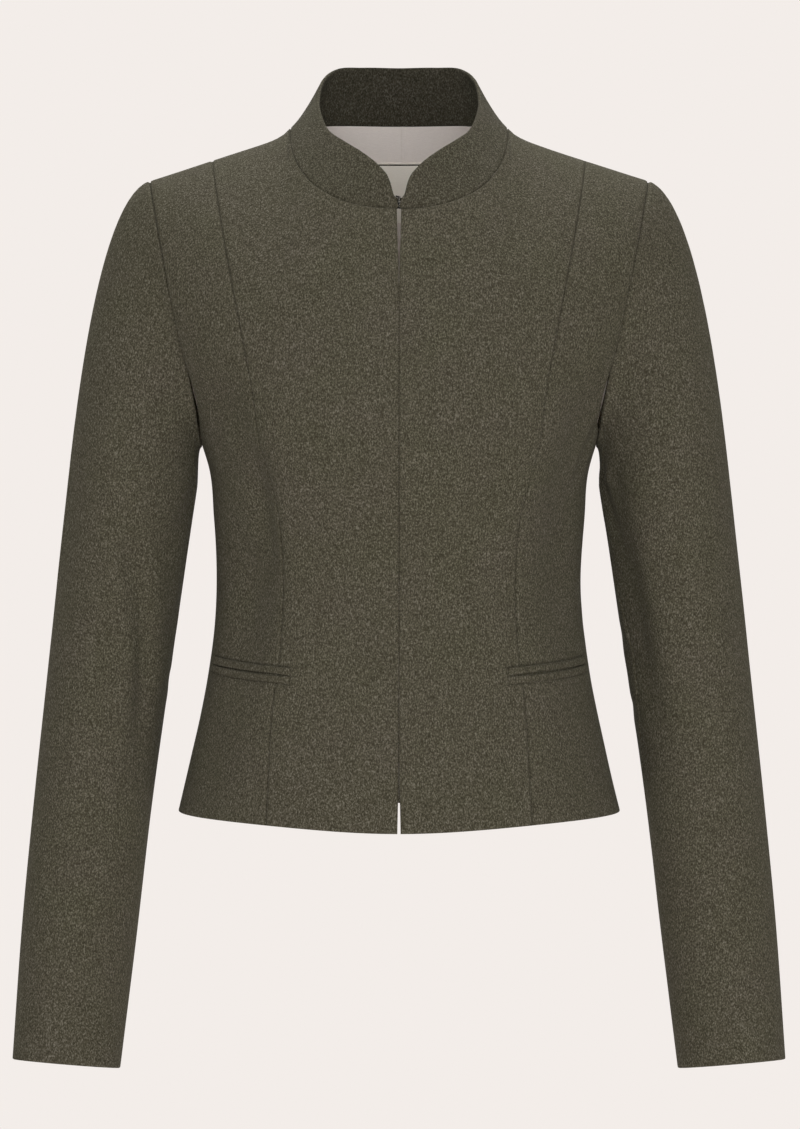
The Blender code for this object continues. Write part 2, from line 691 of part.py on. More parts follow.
def neck_lining(back, material, collection):
    """The lining that shows inside the back neck, made from the back panels' own grid."""
    grid = back[LOWER_ROWS + LINING_FIRST_ROW:, :LINING_COLUMNS + 1]
    depth = CLOTH + LINING_GAP
    outer = across_back(grid, depth)
    inner = across_back(grid, depth + LINING_CLOTH)
    cloth_wall("back_neck_lining", outer, inner, material, collection)


def neck_label(material, collection):
    """The bare label on the lining."""
    x, height = np.meshgrid(
        np.linspace(SEAM_GAP / 2, LABEL_HALF_WIDTH, LABEL_COLUMNS + 1),
        np.linspace(LABEL_BOTTOM, LABEL_TOP, LABEL_ROWS + 1),
    )
    grid = np.stack([angle_at(x, height, False), height], axis=-1)
    depth = CLOTH + LINING_GAP + LINING_CLOTH + LABEL_GAP
    outer = across_back(grid, depth)
    inner = across_back(grid, depth + LABEL_CLOTH)
    cloth_wall("neck_label", outer, inner, material, collection)


def bent_wire(name, points, material, collection):
    """A round wire through its points."""
    curve = bpy.data.curves.new(name, "CURVE")
    curve.dimensions = "3D"
    curve.bevel_depth = WIRE_RADIUS
    curve.bevel_resolution = 1
    curve.use_fill_caps = True
    spline = curve.splines.new("POLY")
    spline.points.add(len(points) - 1)
    for point, place in zip(spline.points, points):
        point.co = (*place, 1.0)
    curve.materials.append(material)
    wire = bpy.data.objects.new(name, curve)
    collection.objects.link(wire)


def arc(centre, start, end, radius):
    """Points on a round bend, in the two directions of its plane."""
    for step in range(BEND_STEPS + 1):
        turn = math.radians(start + (end - start) * step / BEND_STEPS)
        yield centre[0] + radius * math.cos(turn), centre[1] + radius * math.sin(turn)


def hook_and_eye(material, collection):
    """A wire hook on the right front holding a wire eye on the left front, inside the neck edge."""
    face_angle = angle_at(np.array(HOOK_SEAT_X), np.array(HOOK_HEIGHT), True)
    wall_y = float(body_point(face_angle, np.array(HOOK_HEIGHT))[1]) + COLLAR_CLOTH
    near_y = wall_y + 2.0 * SEAM_GAP + WIRE_RADIUS
    middle_y = near_y + HOOK_BEND_RADIUS
    far_y = middle_y + HOOK_BEND_RADIUS
    hook = [(-HOOK_REACH, near_y, HOOK_HEIGHT)]
    for x, y in arc((HOOK_BEND_X, middle_y), -90.0, 90.0, HOOK_BEND_RADIUS):
        hook.append((x, y, HOOK_HEIGHT))
    hook.append((HOOK_TIP_X, far_y, HOOK_HEIGHT))
    bent_wire("hook", hook, material, collection)
    eye = [(HOOK_REACH, middle_y, HOOK_HEIGHT + EYE_RADIUS)]
    for x, z in arc((EYE_BAR_X + EYE_RADIUS, HOOK_HEIGHT), 90.0, 270.0, EYE_RADIUS):
        eye.append((x, middle_y, z))
    eye.append((HOOK_REACH, middle_y, HOOK_HEIGHT - EYE_RADIUS))
    bent_wire("eye", eye, material, collection)


def main():
    for leftover in list(bpy.data.objects):
        bpy.data.objects.remove(leftover)
    jacket = bpy.data.collections.new("trachten_jacket")
    bpy.context.scene.collection.children.link(jacket)
    wool = finish("wool", WOOL_COLOUR, WOOL_ROUGHNESS)
    lining = finish("lining", LINING_COLOUR, LINING_ROUGHNESS)
    label = finish("label", LABEL_COLOUR, LABEL_ROUGHNESS)
    wire = finish("wire", WIRE_COLOUR, WIRE_ROUGHNESS)

    centre_front = centre_front_grid()
    side_front = side_front_grid()
    back = back_grid()
    for word, side, seams, folds in (
        ("right", RIGHT, RIGHT_SLEEVE_SEAMS, RIGHT_SLEEVE_FOLDS),
        ("left", LEFT, LEFT_SLEEVE_SEAMS, LEFT_SLEEVE_FOLDS),
    ):
        body_panel(word + "_centre_front", centre_front, side, wool, jacket)
        body_panel(word + "_side_front", side_front, side, wool, jacket)
        body_panel(word + "_back", back, side, wool, jacket)
        sleeve_panel(word + "_upper_sleeve", seams, folds, True, side, wool, jacket)
        sleeve_panel(word + "_under_sleeve", seams, folds, False, side, wool, jacket)
        jet_top = JET_HALF_GAP + JET_HEIGHT
        pocket_jet(word + "_pocket_upper_jet", JET_HALF_GAP, jet_top, side, wool, jacket)
        pocket_jet(word + "_pocket_lower_jet", -jet_top, -JET_HALF_GAP, side, wool, jacket)
    collar_band(wool, jacket)
    neck_lining(back, lining, jacket)
    neck_label(label, jacket)
    hook_and_eye(wire, jacket)


main()
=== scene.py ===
"""Trachten jacket, looks: a short fitted wool jacket with a stand collar, in its worn, filled-out form.

Metres, +Z up, the front faces -Y and the wearer's left is +X. Each cloth piece is a thin closed shell
on the form of the solid that it stands for, with rolled seams, folded edges and listed creases.
"""

import math
from collections import namedtuple

import bmesh
import bpy
import numpy as np
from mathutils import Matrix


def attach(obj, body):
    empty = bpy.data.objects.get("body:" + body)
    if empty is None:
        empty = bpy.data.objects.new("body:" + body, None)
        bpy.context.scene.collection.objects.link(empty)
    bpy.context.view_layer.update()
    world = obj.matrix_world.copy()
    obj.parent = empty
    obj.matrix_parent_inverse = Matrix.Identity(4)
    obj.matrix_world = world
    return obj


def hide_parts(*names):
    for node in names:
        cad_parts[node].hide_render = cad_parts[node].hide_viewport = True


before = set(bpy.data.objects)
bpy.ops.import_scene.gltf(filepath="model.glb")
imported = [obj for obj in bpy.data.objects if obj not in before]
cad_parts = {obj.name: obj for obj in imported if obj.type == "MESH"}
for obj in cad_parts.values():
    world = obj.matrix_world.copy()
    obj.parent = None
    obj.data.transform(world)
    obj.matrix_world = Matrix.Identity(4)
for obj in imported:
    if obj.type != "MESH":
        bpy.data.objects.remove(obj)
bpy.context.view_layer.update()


def table(columns, *rows):
    """Rows of values with named columns."""
    row_type = namedtuple("row_type", columns)
    return tuple(row_type(*row) for row in rows)


# Sides of the wearer, as the sign of x, and the direction of the back
RIGHT = -1.0
LEFT = 1.0
BACKWARD = np.array([0.0, 1.0, 0.0])

# Cloth and seams
CLOTH = 0.0022
COLLAR_CLOTH = 0.0030
LINING_CLOTH = 0.0010
LABEL_CLOTH = 0.0008
SEAM_GAP = 0.0001
CENTRE_BACK_GAP = 0.00002

# Neck and shoulder
NECK_HALF_WIDTH = 0.081
NECK_SIDE_HEIGHT = -0.003
NECK_DROP = 0.0656
NECK_SQUARENESS = 2.3
BACK_NECK_RISE = 0.010
BACK_NECK_FLATNESS = 5.0
NECK_RISE = 0.050
SHOULDER_SLOPE = 0.318
SHOULDER_DIP = 0.0056
SHOULDER_DIP_LENGTH = 0.0062
SHOULDER_HALF_WIDTH = 0.185
SHOULDER_SEAM_Y = 0.006
ROUNDING_AT_NECK = 0.140
ROUNDING_AT_TIP = 0.100
SHOULDER_STATION = 90.0
CENTRE_BACK_STATION = 180.0
JUST_BEHIND = 1e-6
FRONT_NECK_SHARE = 0.75
BACK_NECK_SHARE = 9.0 / 17.0
SEAM_TRIES = 20

# Hem, centre front and armhole
HEM_HEIGHT = -0.508
HEM_FRONT_DIP = 0.0105
FRONT_GAP = 0.00002
NECK_OPENING = 0.0030
NECK_OPENING_LENGTH = 0.064
HEM_OPENING = 0.0024
HEM_OPENING_LENGTH = 0.056
UNDERARM_HEIGHT = -0.239
FRONT_ARMHOLE_BOW = 0.0003
BACK_ARMHOLE_BOW = 0.0030

# Sleeve
FIRST_RING_HEIGHT = -0.262
SLEEVE_LENGTH = 0.4295
CAP_SHARE = 0.42
CAP_LENGTH = 0.190
CAP_SPACING = 1.25
CAP_START_PULL = (0.40, 0.50)
CAP_END_PULL = (0.80, 0.90)
UNDERARM_TURN = (100.0, 170.0)
CUFF_TILT = 0.10

# Pocket jets
POCKET_INNER_X = 0.0788
POCKET_OUTER_ANGLE = math.radians(80.5)
POCKET_INNER_HEIGHT = -0.4063
POCKET_OUTER_HEIGHT = -0.3988
JET_HEIGHT = 0.0058
JET_HALF_GAP = 0.0002
JET_TOP = 0.0015
JET_SEAM_LIFT = 0.0002
JET_UNDERSIDE = 0.0001
JET_SEAM_ROLL = 0.0016
JET_FOLD_ROLL = 0.0009
POCKET_GROOVE = (0.0013, 0.0007)
SLIT_GROOVE = 0.0012
SLIT_GROOVE_WIDTH = 0.0007
SLIT_GAPE = 0.0005
SLIT_GAPE_LEAN = 0.6
SLIT_END_SOFTNESS = 0.02
POCKET_GROOVE_WIDTH = 0.0009
POCKET_ROWS = (0.350, 0.432, 42)

# Neck lining and label
LABEL_HALF_WIDTH = 0.030
LABEL_TOP = -0.0190
LABEL_BOTTOM = -0.0645
LABEL_GAP = 0.0005
LINING_GAP = 0.0006
LINING_FIRST_SHARE = 0.40
LINING_LAST_COLUMN = 8.0 / 17.0
LINING_COLUMNS = 60
PLEAT_COLUMNS = (0.0, 0.08, 40)
PLEAT_X = (0.0019, 0.0046)
PLEAT_LIFT = 0.0005
PLEAT_SOFTNESS = 0.0004
LABEL_FOLD_HEIGHT = 0.0030
LABEL_FOLD_LIFT = 0.0004
LABEL_FOLD_SOFTNESS = 0.0003
LABEL_GROOVE = 0.0006
LABEL_GROOVE_PLACE = 0.0008
LABEL_GROOVE_WIDTH = 0.0005
LABEL_COLUMNS = 60
LABEL_ROWS = 50
LABEL_BAND_ROWS = (0.85, 1.0, 40)
LABEL_SHADOW_THREAD = 0.0006

# Hook and eye
WIRE_RADIUS = 0.0005
HOOK_CLEARANCE = 0.0006
HOOK_HEIGHT = -0.0665
HOOK_SEAT_X = 0.0040
HOOK_REACH = 0.0065
HOOK_BEND_RADIUS = 0.0013
HOOK_TIP_X = -0.0030
HOOK_BEND_X = -0.0002
EYE_BAR_X = -0.0008
EYE_RADIUS = 0.0019
BEND_STEPS = 16
BEVEL_STEPS = 3
THREAD_RADIUS = 0.0004
STITCHES = 30
STITCH_X = (-0.0036, 0.0014)
STITCH_TAPER = 0.35
STITCH_START = -0.0020
STITCH_RISE = 0.0090
STITCH_LEAN = 0.0020

# Rolled seams: how deep the cloth's face sinks at an edge and over what length
EdgeRoll = namedtuple("EdgeRoll", "sink roll")
EDGE_ROLLS = {
    "seam": EdgeRoll(0.0014, 0.0007),
    "armhole": EdgeRoll(0.0020, 0.0010),
    "neck": EdgeRoll(0.0009, 0.0007),
    "raw": EdgeRoll(0.0, 0.0010),
    "butted": EdgeRoll(0.0011, 0.0006),
}
ROLL_LIMIT = 0.88
ROLL_POWER = 1.5
FOLD_SHARE = 0.46

# Widths of the wool facings inside the edges
HEM_FACING = 0.036
TOP_FACING = 0.020
FRONT_FACING = 0.055
ARMHOLE_FACING = 0.012

# Flat cut of each cloth piece, without seam allowances: widest width, longest length and area
Cut = namedtuple("Cut", "width length area")
RIGHT_UPPER_CUT = Cut(0.163, 0.682, 0.0912)
RIGHT_UNDER_CUT = Cut(0.194, 0.658, 0.0787)
LEFT_UPPER_CUT = Cut(0.193, 0.674, 0.1057)
LEFT_UNDER_CUT = Cut(0.141, 0.618, 0.0642)

# Mesh counts and steps
EDGE_STEPS = (0.0010, 0.0032, 0.0070, 0.0125)
CLOSEST_STEP = 0.25 * EDGE_STEPS[0]
LOWER_ROWS = 104
UPPER_ROWS = 96
FRONT_COLUMNS = 52
SIDE_COLUMNS = 34
BACK_COLUMNS = 68
CAP_ROWS = 80
ARM_ROWS = 160
UPPER_SLEEVE_COLUMNS = 66
UNDER_SLEEVE_COLUMNS = 48
COLLAR_COLUMNS = 180
COLLAR_ROWS = 26
JET_COLUMNS = 90
JET_ROWS = 12

# Trunk sections, from below the hem to above the shoulder
BODY_SECTIONS = table(
    "height half_width front_depth back_depth squareness",
    (-0.525, 0.1675, 0.1130, 0.1060, 2.3),
    (-0.470, 0.1546, 0.1080, 0.0990, 2.3),
    (-0.411, 0.1421, 0.1030, 0.0900, 2.3),
    (-0.340, 0.1350, 0.1005, 0.0830, 2.3),
    (-0.290, 0.1374, 0.1085, 0.0885, 2.3),
    (-0.255, 0.1408, 0.1165, 0.0955, 2.3),
    (-0.239, 0.1455, 0.1175, 0.0985, 2.4),
    (-0.189, 0.1647, 0.1130, 0.1060, 2.4),
    (-0.139, 0.1830, 0.1020, 0.1100, 2.4),
    (-0.080, 0.2010, 0.0850, 0.1090, 2.4),
    (-0.010, 0.2060, 0.0660, 0.1000, 2.4),
    (0.040, 0.2060, 0.0600, 0.0900, 2.4),
)

# Princess seam: half distance from the centre front at each height
PRINCESS_SEAM = table(
    "height half_width",
    (-0.525, 0.0965),
    (-0.480, 0.0945),
    (-0.425, 0.0915),
    (-0.390, 0.0870),
    (-0.340, 0.0855),
    (-0.290, 0.0890),
    (-0.239, 0.1030),
    (-0.180, 0.1105),
    (-0.100, 0.1255),
    (0.000, 0.1430),
)

# Large soft hollows of the body, in degrees round from the centre front
BODY_FOLDS = table(
    "angle height depth wide tall",
    (60.0, -0.212, 0.0030, 13.0, 0.030),
    (57.0, -0.335, 0.0020, 12.0, 0.055),
    (152.0, -0.330, 0.0025, 13.0, 0.060),
)

# Soft hollows of one side of the front, behind its princess seam and before its armhole
BODY_HOLLOWS = table(
    "side angle height depth wide tall",
    (RIGHT, 60.0, -0.216, 0.0064, 9.0, 0.026),
    (RIGHT, 75.0, -0.212, 0.0018, 7.0, 0.026),
    (RIGHT, 52.0, -0.286, 0.0086, 6.0, 0.050),
    (RIGHT, 61.0, -0.345, 0.0095, 10.0, 0.062),
    (RIGHT, 70.0, -0.330, 0.0045, 12.0, 0.095),
    (RIGHT, 67.0, -0.470, 0.0048, 14.0, 0.050),
    (LEFT, 66.0, -0.212, 0.0034, 8.0, 0.026),
    (LEFT, 77.0, -0.214, 0.0010, 7.0, 0.026),
    (LEFT, 64.0, -0.305, 0.0068, 12.0, 0.080),
    (LEFT, 72.0, -0.340, 0.0038, 11.0, 0.090),
    (LEFT, 65.0, -0.465, 0.0046, 13.0, 0.048),
)

# Sleeve sections: drop below the first ring, centre and half sizes
SLEEVE_SECTIONS = table(
    "drop centre_x centre_y half_width half_depth",
    (0.0000, 0.1968, 0.004, 0.0477, 0.0560),
    (0.0600, 0.2046, 0.006, 0.0466, 0.0545),
    (0.1500, 0.2160, 0.008, 0.0450, 0.0520),
    (0.2400, 0.2266, 0.002, 0.0435, 0.0490),
    (0.3300, 0.2352, -0.013, 0.0424, 0.0445),
    (0.4295, 0.2436, -0.033, 0.0395, 0.0395),
)

# Sleeve seams in degrees: 0 is outward, 90 front, 180 towards the body, negative behind
SLEEVE_SEAM_COLUMNS = "travel front back"
RIGHT_SLEEVE_SEAMS = table(
    SLEEVE_SEAM_COLUMNS,
    (0.00, 144.0, -72.0),
    (0.25, 158.0, -22.0),
    (0.45, 170.0, 20.0),
    (0.62, 180.0, -2.0),
    (0.80, 182.0, -28.0),
    (1.00, 178.0, -34.0),
)
LEFT_SLEEVE_SEAMS = table(
    SLEEVE_SEAM_COLUMNS,
    (0.00, 144.0, -72.0),
    (0.25, 164.0, -50.0),
    (0.45, 182.0, -34.0),
    (0.61, 157.0, -36.0),
    (0.80, 184.0, -38.0),
    (1.00, 180.0, -40.0),
)

# Large soft folds of each sleeve, in degrees round as for its seams
SLEEVE_FOLD_COLUMNS = "angle drop depth wide tall"
RIGHT_SLEEVE_FOLDS = table(
    SLEEVE_FOLD_COLUMNS,
    (98.0, 0.120, 0.0024, 13.0, 0.055),
    (265.0, 0.090, 0.0028, 22.0, 0.030),
    (250.0, 0.170, 0.0022, 20.0, 0.026),
)
LEFT_SLEEVE_FOLDS = table(
    SLEEVE_FOLD_COLUMNS,
    (136.0, 0.085, 0.0030, 14.0, 0.050),
    (262.0, 0.105, 0.0028, 22.0, 0.030),
    (252.0, 0.190, 0.0020, 20.0, 0.026),
)

# Collar edge at each station: 0 is the centre front, 90 the shoulder, 180 the centre back
COLLAR_EDGE = table(
    "station x y z",
    (0.0, 0.0032, -0.0800, -0.0630),
    (7.0, 0.0071, -0.0770, -0.0480),
    (17.0, 0.0146, -0.0705, -0.0368),
    (30.0, 0.0275, -0.0600, -0.0255),
    (42.0, 0.0404, -0.0500, -0.0167),
    (55.0, 0.0507, -0.0380, -0.0088),
    (73.0, 0.0578, -0.0180, 0.0060),
    (90.0, 0.0600, 0.0060, 0.0200),
    (110.0, 0.0570, 0.0310, 0.0370),
    (130.0, 0.0465, 0.0485, 0.0465),
    (150.0, 0.0280, 0.0575, 0.0483),
    (180.0, 0.0000, 0.0600, 0.0483),
)
COLLAR_HOLLOW = 0.0004
COLLAR_END_STATION = 25.0
COLLAR_GAP = 0.0002
COLLAR_MITRE = 0.25

# Creases of the body: a line in degrees round from the centre front and in height, its half width and depth
BODY_CREASES = table(
    "side angle height to_angle to_height wide deep",
    (RIGHT, 2.5, -0.390, 3.0, -0.516, 0.0060, 0.0008),
    (RIGHT, 71.0, -0.232, 58.0, -0.281, 0.0070, 0.0008),
    (LEFT, 79.0, -0.214, 74.0, -0.268, 0.0050, 0.0014),
    (LEFT, 69.0, -0.250, 57.0, -0.275, 0.0065, 0.0006),
    (RIGHT, 84.0, -0.347, 60.0, -0.338, 0.0075, 0.0007),
    (LEFT, 82.0, -0.336, 62.0, -0.349, 0.0085, 0.0008),
    (LEFT, 88.0, -0.372, 70.0, -0.363, 0.0060, 0.0005),
    (RIGHT, 86.0, -0.366, 73.0, -0.371, 0.0055, 0.0006),
    (RIGHT, 112.0, -0.120, 119.0, -0.236, 0.0110, 0.0016),
    (LEFT, 114.0, -0.128, 118.0, -0.226, 0.0125, 0.0014),
    (RIGHT, 128.0, -0.185, 124.0, -0.262, 0.0090, 0.0009),
    (LEFT, 131.0, -0.172, 126.0, -0.270, 0.0080, 0.0010),
    (RIGHT, 176.0, -0.338, 138.0, -0.349, 0.0090, 0.0010),
    (LEFT, 175.0, -0.331, 132.0, -0.343, 0.0080, 0.0009),
    (LEFT, 166.0, -0.361, 121.0, -0.366, 0.0070, 0.0008),
    (RIGHT, 159.0, -0.368, 126.0, -0.374, 0.0075, 0.0007),
    (RIGHT, 104.0, -0.338, 92.0, -0.352, 0.0065, 0.0007),
    (LEFT, 106.0, -0.352, 93.0, -0.342, 0.0070, 0.0006),
)

# Creases of each sleeve: a line in degrees round and in fall below the first ring, its half width and depth
SLEEVE_CREASE_COLUMNS = "turn fall to_turn to_fall wide deep"
RIGHT_SLEEVE_CREASES = table(
    SLEEVE_CREASE_COLUMNS,
    (88.0, 0.030, 134.0, 0.205, 0.0085, 0.0044),
    (168.0, -0.010, 128.0, 0.052, 0.0065, 0.0010),
    (176.0, 0.085, 142.0, 0.112, 0.0060, 0.0008),
    (188.0, 0.140, 150.0, 0.152, 0.0055, 0.0008),
    (214.0, 0.110, 280.0, 0.128, 0.0070, 0.0012),
    (206.0, 0.160, 262.0, 0.184, 0.0065, 0.0010),
    (236.0, 0.212, 288.0, 0.205, 0.0060, 0.0008),
    (38.0, -0.030, 24.0, 0.095, 0.0100, 0.0007),
    (62.0, 0.250, 70.0, 0.350, 0.0100, 0.0005),
    (258.0, -0.060, 286.0, 0.020, 0.0090, 0.0011),
)
LEFT_SLEEVE_CREASES = table(
    SLEEVE_CREASE_COLUMNS,
    (142.0, -0.040, 128.0, 0.190, 0.0130, 0.0036),
    (168.0, -0.060, 158.0, 0.040, 0.0065, 0.0036),
    (118.0, -0.020, 104.0, 0.070, 0.0090, 0.0007),
    (184.0, 0.105, 150.0, 0.133, 0.0055, 0.0009),
    (190.0, 0.158, 156.0, 0.172, 0.0060, 0.0007),
    (210.0, 0.122, 274.0, 0.140, 0.0070, 0.0012),
    (216.0, 0.180, 266.0, 0.200, 0.0060, 0.0010),
    (240.0, 0.226, 292.0, 0.232, 0.0065, 0.0007),
    (44.0, 0.000, 30.0, 0.130, 0.0110, 0.0007),
    (84.0, 0.220, 78.0, 0.330, 0.0110, 0.0005),
    (262.0, -0.052, 290.0, 0.032, 0.0085, 0.0010),
)

# Form of every crease: its two lips, its bow and how it fades in and out along its line
CREASE_LIP = 0.40
CREASE_LIP_PLACE = 1.9
CREASE_FAR_LIP = 0.6
CREASE_BOW = 0.06
CREASE_START = (-0.15, 0.30)
CREASE_END = (0.60, 1.15)

# Slow unevenness of the pressed cloth: wave lengths across and up, its height and a start
RIPPLES = table(
    "across up high start",
    (0.083, 0.127, 0.00016, 0.7),
    (-0.061, 0.149, 0.00013, 2.9),
    (0.037, -0.071, 0.00008, 4.4),
)

# Mean radii, which turn angles into distances across the cloth
BODY_RADIUS = 0.125
SLEEVE_RADIUS = 0.048


def smooth(rows, column, at):
    """Read a named column of a table at any place, on a smooth curve through its rows."""
    places = np.array([row[0] for row in rows])
    values = np.array([getattr(row, column) for row in rows])
    slopes = np.gradient(values, places)
    at = np.clip(at, places[0], places[-1])
    low = np.clip(np.searchsorted(places, at) - 1, 0, len(places) - 2)
    span = places[low + 1] - places[low]
    t = (at - places[low]) / span
    start = (1 + 2 * t) * (1 - t) ** 2 * values[low] + t * (1 - t) ** 2 * span * slopes[low]
    end = t * t * (3 - 2 * t) * values[low + 1] + t * t * (t - 1) * span * slopes[low + 1]
    return start + end


def smooth_row(rows, at):
    """Read every column of a table but its first one, the place, at any place."""
    return [smooth(rows, column, at) for column in rows[0]._fields[1:]]


def ease(low, high, at):
    """Rise softly from 0 at low to 1 at high."""
    t = np.clip((at - low) / (high - low), 0.0, 1.0)
    return t * t * (3 - 2 * t)


def between(start, end, share):
    """The value at a share of the way from start to end."""
    return start + (end - start) * share


def mixed(first, second, share):
    """The first where the share is 0, the second where it is 1."""
    return first * (1 - share) + second * share


def unit(vectors):
    shortest = 1e-12
    return vectors / np.maximum(np.linalg.norm(vectors, axis=-1, keepdims=True), shortest)


def bump(distance, size):
    """A soft bell that is 1 in the middle and fades out over about twice its size."""
    return np.exp(-((distance / size) ** 2))


def crease_shape(across, up, start, end, wide, deep):
    """Height of one crease: a soft trough along a line with low lips beside it, fading at both ends."""
    line = np.array([end[0] - start[0], end[1] - start[1]])
    length = math.hypot(*line)
    line = line / length
    along = (across - start[0]) * line[0] + (up - start[1]) * line[1]
    aside = (up - start[1]) * line[0] - (across - start[0]) * line[1]
    aside = aside + CREASE_BOW * length * np.sin(math.pi * np.clip(along / length, 0.0, 1.0))
    ends = ease(*CREASE_START, along / length) * (1.0 - ease(*CREASE_END, along / length))
    trough = bump(aside, wide)
    lip = CREASE_LIP_PLACE * wide
    lips = bump(aside - lip, wide) + CREASE_FAR_LIP * bump(aside + lip, wide)
    return deep * ends * (CREASE_LIP * lips - trough)


def ripple_shape(across, up):
    """Height of the slow unevenness of the cloth."""
    total = 0.0 * across
    for wave in RIPPLES:
        total = total + wave.high * np.sin(2 * math.pi * (across / wave.across + up / wave.up) + wave.start)
    return total


# Body surface

def shoulder_height(x):
    """Height of the shoulder line over each half distance, carried on up the neck inside the collar."""
    past_neck = np.maximum(x - NECK_HALF_WIDTH, 0.0)
    rise = NECK_RISE * (1.0 - np.minimum(x / NECK_HALF_WIDTH, 1.0) ** 2)
    dip = SHOULDER_DIP * (1.0 - np.exp(-past_neck / SHOULDER_DIP_LENGTH))
    return NECK_SIDE_HEIGHT - SHOULDER_SLOPE * past_neck - dip + rise


def trunk_depth(x, height, front):
    """Distance of the trunk's front or back face from the middle plane."""
    half_width, front_depth, back_depth, power = smooth_row(BODY_SECTIONS, height)
    depth = front_depth if front else back_depth
    share = np.clip(x / half_width, 0.0, 1.0)
    return depth * (1.0 - share ** power) ** (1.0 / power)


def angle_at(x, height, front):
    """Angle round the body, from the centre front, of a point at this half distance."""
    angle = np.arctan2(x, trunk_depth(x, height, front))
    return angle if front else math.pi - angle


def body_point(angle, height):
    """Outer face of the body at angles round from the centre front, on the wearer's left half."""
    sine = np.abs(np.sin(angle))
    cosine = np.cos(angle)
    front = cosine > 0.0
    half_width, front_depth, back_depth, power = smooth_row(BODY_SECTIONS, height)
    depth = np.where(front, front_depth, back_depth)
    radius = ((sine / half_width) ** power + (np.abs(cosine) / depth) ** power) ** (-1.0 / power)
    for fold in BODY_FOLDS:
        across = bump(np.degrees(angle) - fold.angle, fold.wide)
        radius = radius - fold.depth * across * bump(height - fold.height, fold.tall)
    x = radius * np.sin(angle)
    y = -radius * cosine
    beyond_neck = np.clip(np.abs(x) - NECK_HALF_WIDTH, 0.0, None) / (SHOULDER_HALF_WIDTH - NECK_HALF_WIDTH)
    rounding = between(ROUNDING_AT_NECK, ROUNDING_AT_TIP, np.clip(beyond_neck, 0.0, 1.0))
    share = np.clip((shoulder_height(np.abs(x)) - height) / rounding, 0.0, 1.0)
    fullness = np.sqrt(1.0 - (1.0 - share) ** 2)
    seam_y = SHOULDER_SEAM_Y + np.where(front, -SEAM_GAP / 2, SEAM_GAP / 2)
    y = np.where(share < 1.0, seam_y + (y - seam_y) * fullness, y)
    return np.stack([x, y, height + 0.0 * x], axis=-1)


def body_normal(angle, height):
    """Outward direction of the body surface."""
    step_angle = 1e-4
    step_height = 2e-4
    around = body_point(angle + step_angle, height) - body_point(angle - step_angle, height)
    upward = body_point(angle, height) - body_point(angle, height - step_height)
    return unit(np.cross(around, upward))


def body_creases(angle, height, side):
    """Height of the hollows, creases and unevenness of one half of the body."""
    across = angle * BODY_RADIUS
    total = ripple_shape(across * side, height)
    for hollow in BODY_HOLLOWS:
        if hollow.side == side:
            around = bump(np.degrees(angle) - hollow.angle, hollow.wide)
            total = total - hollow.depth * around * bump(height - hollow.height, hollow.tall)
    for crease in BODY_CREASES:
        if crease.side == side:
            start = (math.radians(crease.angle) * BODY_RADIUS, crease.height)
            end = (math.radians(crease.to_angle) * BODY_RADIUS, crease.to_height)
            total = total + crease_shape(across, height, start, end, crease.wide, crease.deep)
    return total


def front_half_gap(height):
    """Half the gap between the two fronts: a little open at the neck and at the hem."""
    at_neck = NECK_OPENING * ease(-NECK_DROP - NECK_OPENING_LENGTH, -NECK_DROP, height)
    at_hem = HEM_OPENING * ease(HEM_HEIGHT + HEM_OPENING_LENGTH, HEM_HEIGHT - HEM_FRONT_DIP, height)
    return 0.5 * (FRONT_GAP + at_neck + at_hem)


def hem_height(angle):
    """The hem dips a little towards the centre front."""
    return HEM_HEIGHT - HEM_FRONT_DIP * np.clip(np.cos(angle), 0.0, None) ** 2


def neck_place(station):
    """Half distance and height of the neck seam at stations from 0, centre front, to 180, centre back."""
    turn = np.radians(station)
    sine = np.clip(np.sin(turn), 0.0, 1.0)
    cosine = np.abs(np.cos(turn))
    front = station <= SHOULDER_STATION
    x = NECK_HALF_WIDTH * np.where(front, sine ** (2.0 / NECK_SQUARENESS), sine)
    drop = NECK_DROP * cosine ** (2.0 / NECK_SQUARENESS)
    rise = BACK_NECK_RISE * (1.0 - (x / NECK_HALF_WIDTH) ** BACK_NECK_FLATNESS)
    height = NECK_SIDE_HEIGHT + np.where(front, -drop, rise)
    start = front_half_gap(np.array(NECK_SIDE_HEIGHT - NECK_DROP))
    return np.where(front, np.maximum(x, start), np.maximum(x, CENTRE_BACK_GAP / 2)), height


def armhole_place(turn):
    """Angle and height of the armhole: turn 0 at the shoulder tip, 180 at the underarm, negative behind."""
    tip = shoulder_height(np.array(SHOULDER_HALF_WIDTH))
    share = 0.5 * (1.0 + np.cos(np.radians(turn)))
    height = between(UNDERARM_HEIGHT, tip, share)
    underarm = smooth(BODY_SECTIONS, "half_width", np.array(UNDERARM_HEIGHT))
    front = turn >= 0.0
    bow = np.where(front, FRONT_ARMHOLE_BOW, BACK_ARMHOLE_BOW) * np.sin(math.pi * share)
    x = between(underarm, SHOULDER_HALF_WIDTH, share) + bow
    angle = np.where(front, angle_at(x, height, True), angle_at(x, height, False))
    return angle, height


# Panel grids in angle and height

def spread(count, at_start, at_end):
    """Shares from 0 to 1, evenly spaced, with extra steps close to the ends that need them."""
    close = np.array(EDGE_STEPS)
    parts = [np.linspace(0.0, 1.0, count + 1)]
    if at_start:
        parts.append(close)
    if at_end:
        parts.append(1.0 - close)
    shares = np.unique(np.concatenate(parts))
    keep = np.concatenate([[True], np.diff(shares) > CLOSEST_STEP])
    return shares[keep]


LOW_SHARES = np.unique(np.concatenate([spread(LOWER_ROWS, True, False), np.linspace(*POCKET_ROWS)]))
HIGH_SHARES = spread(UPPER_ROWS, False, True)


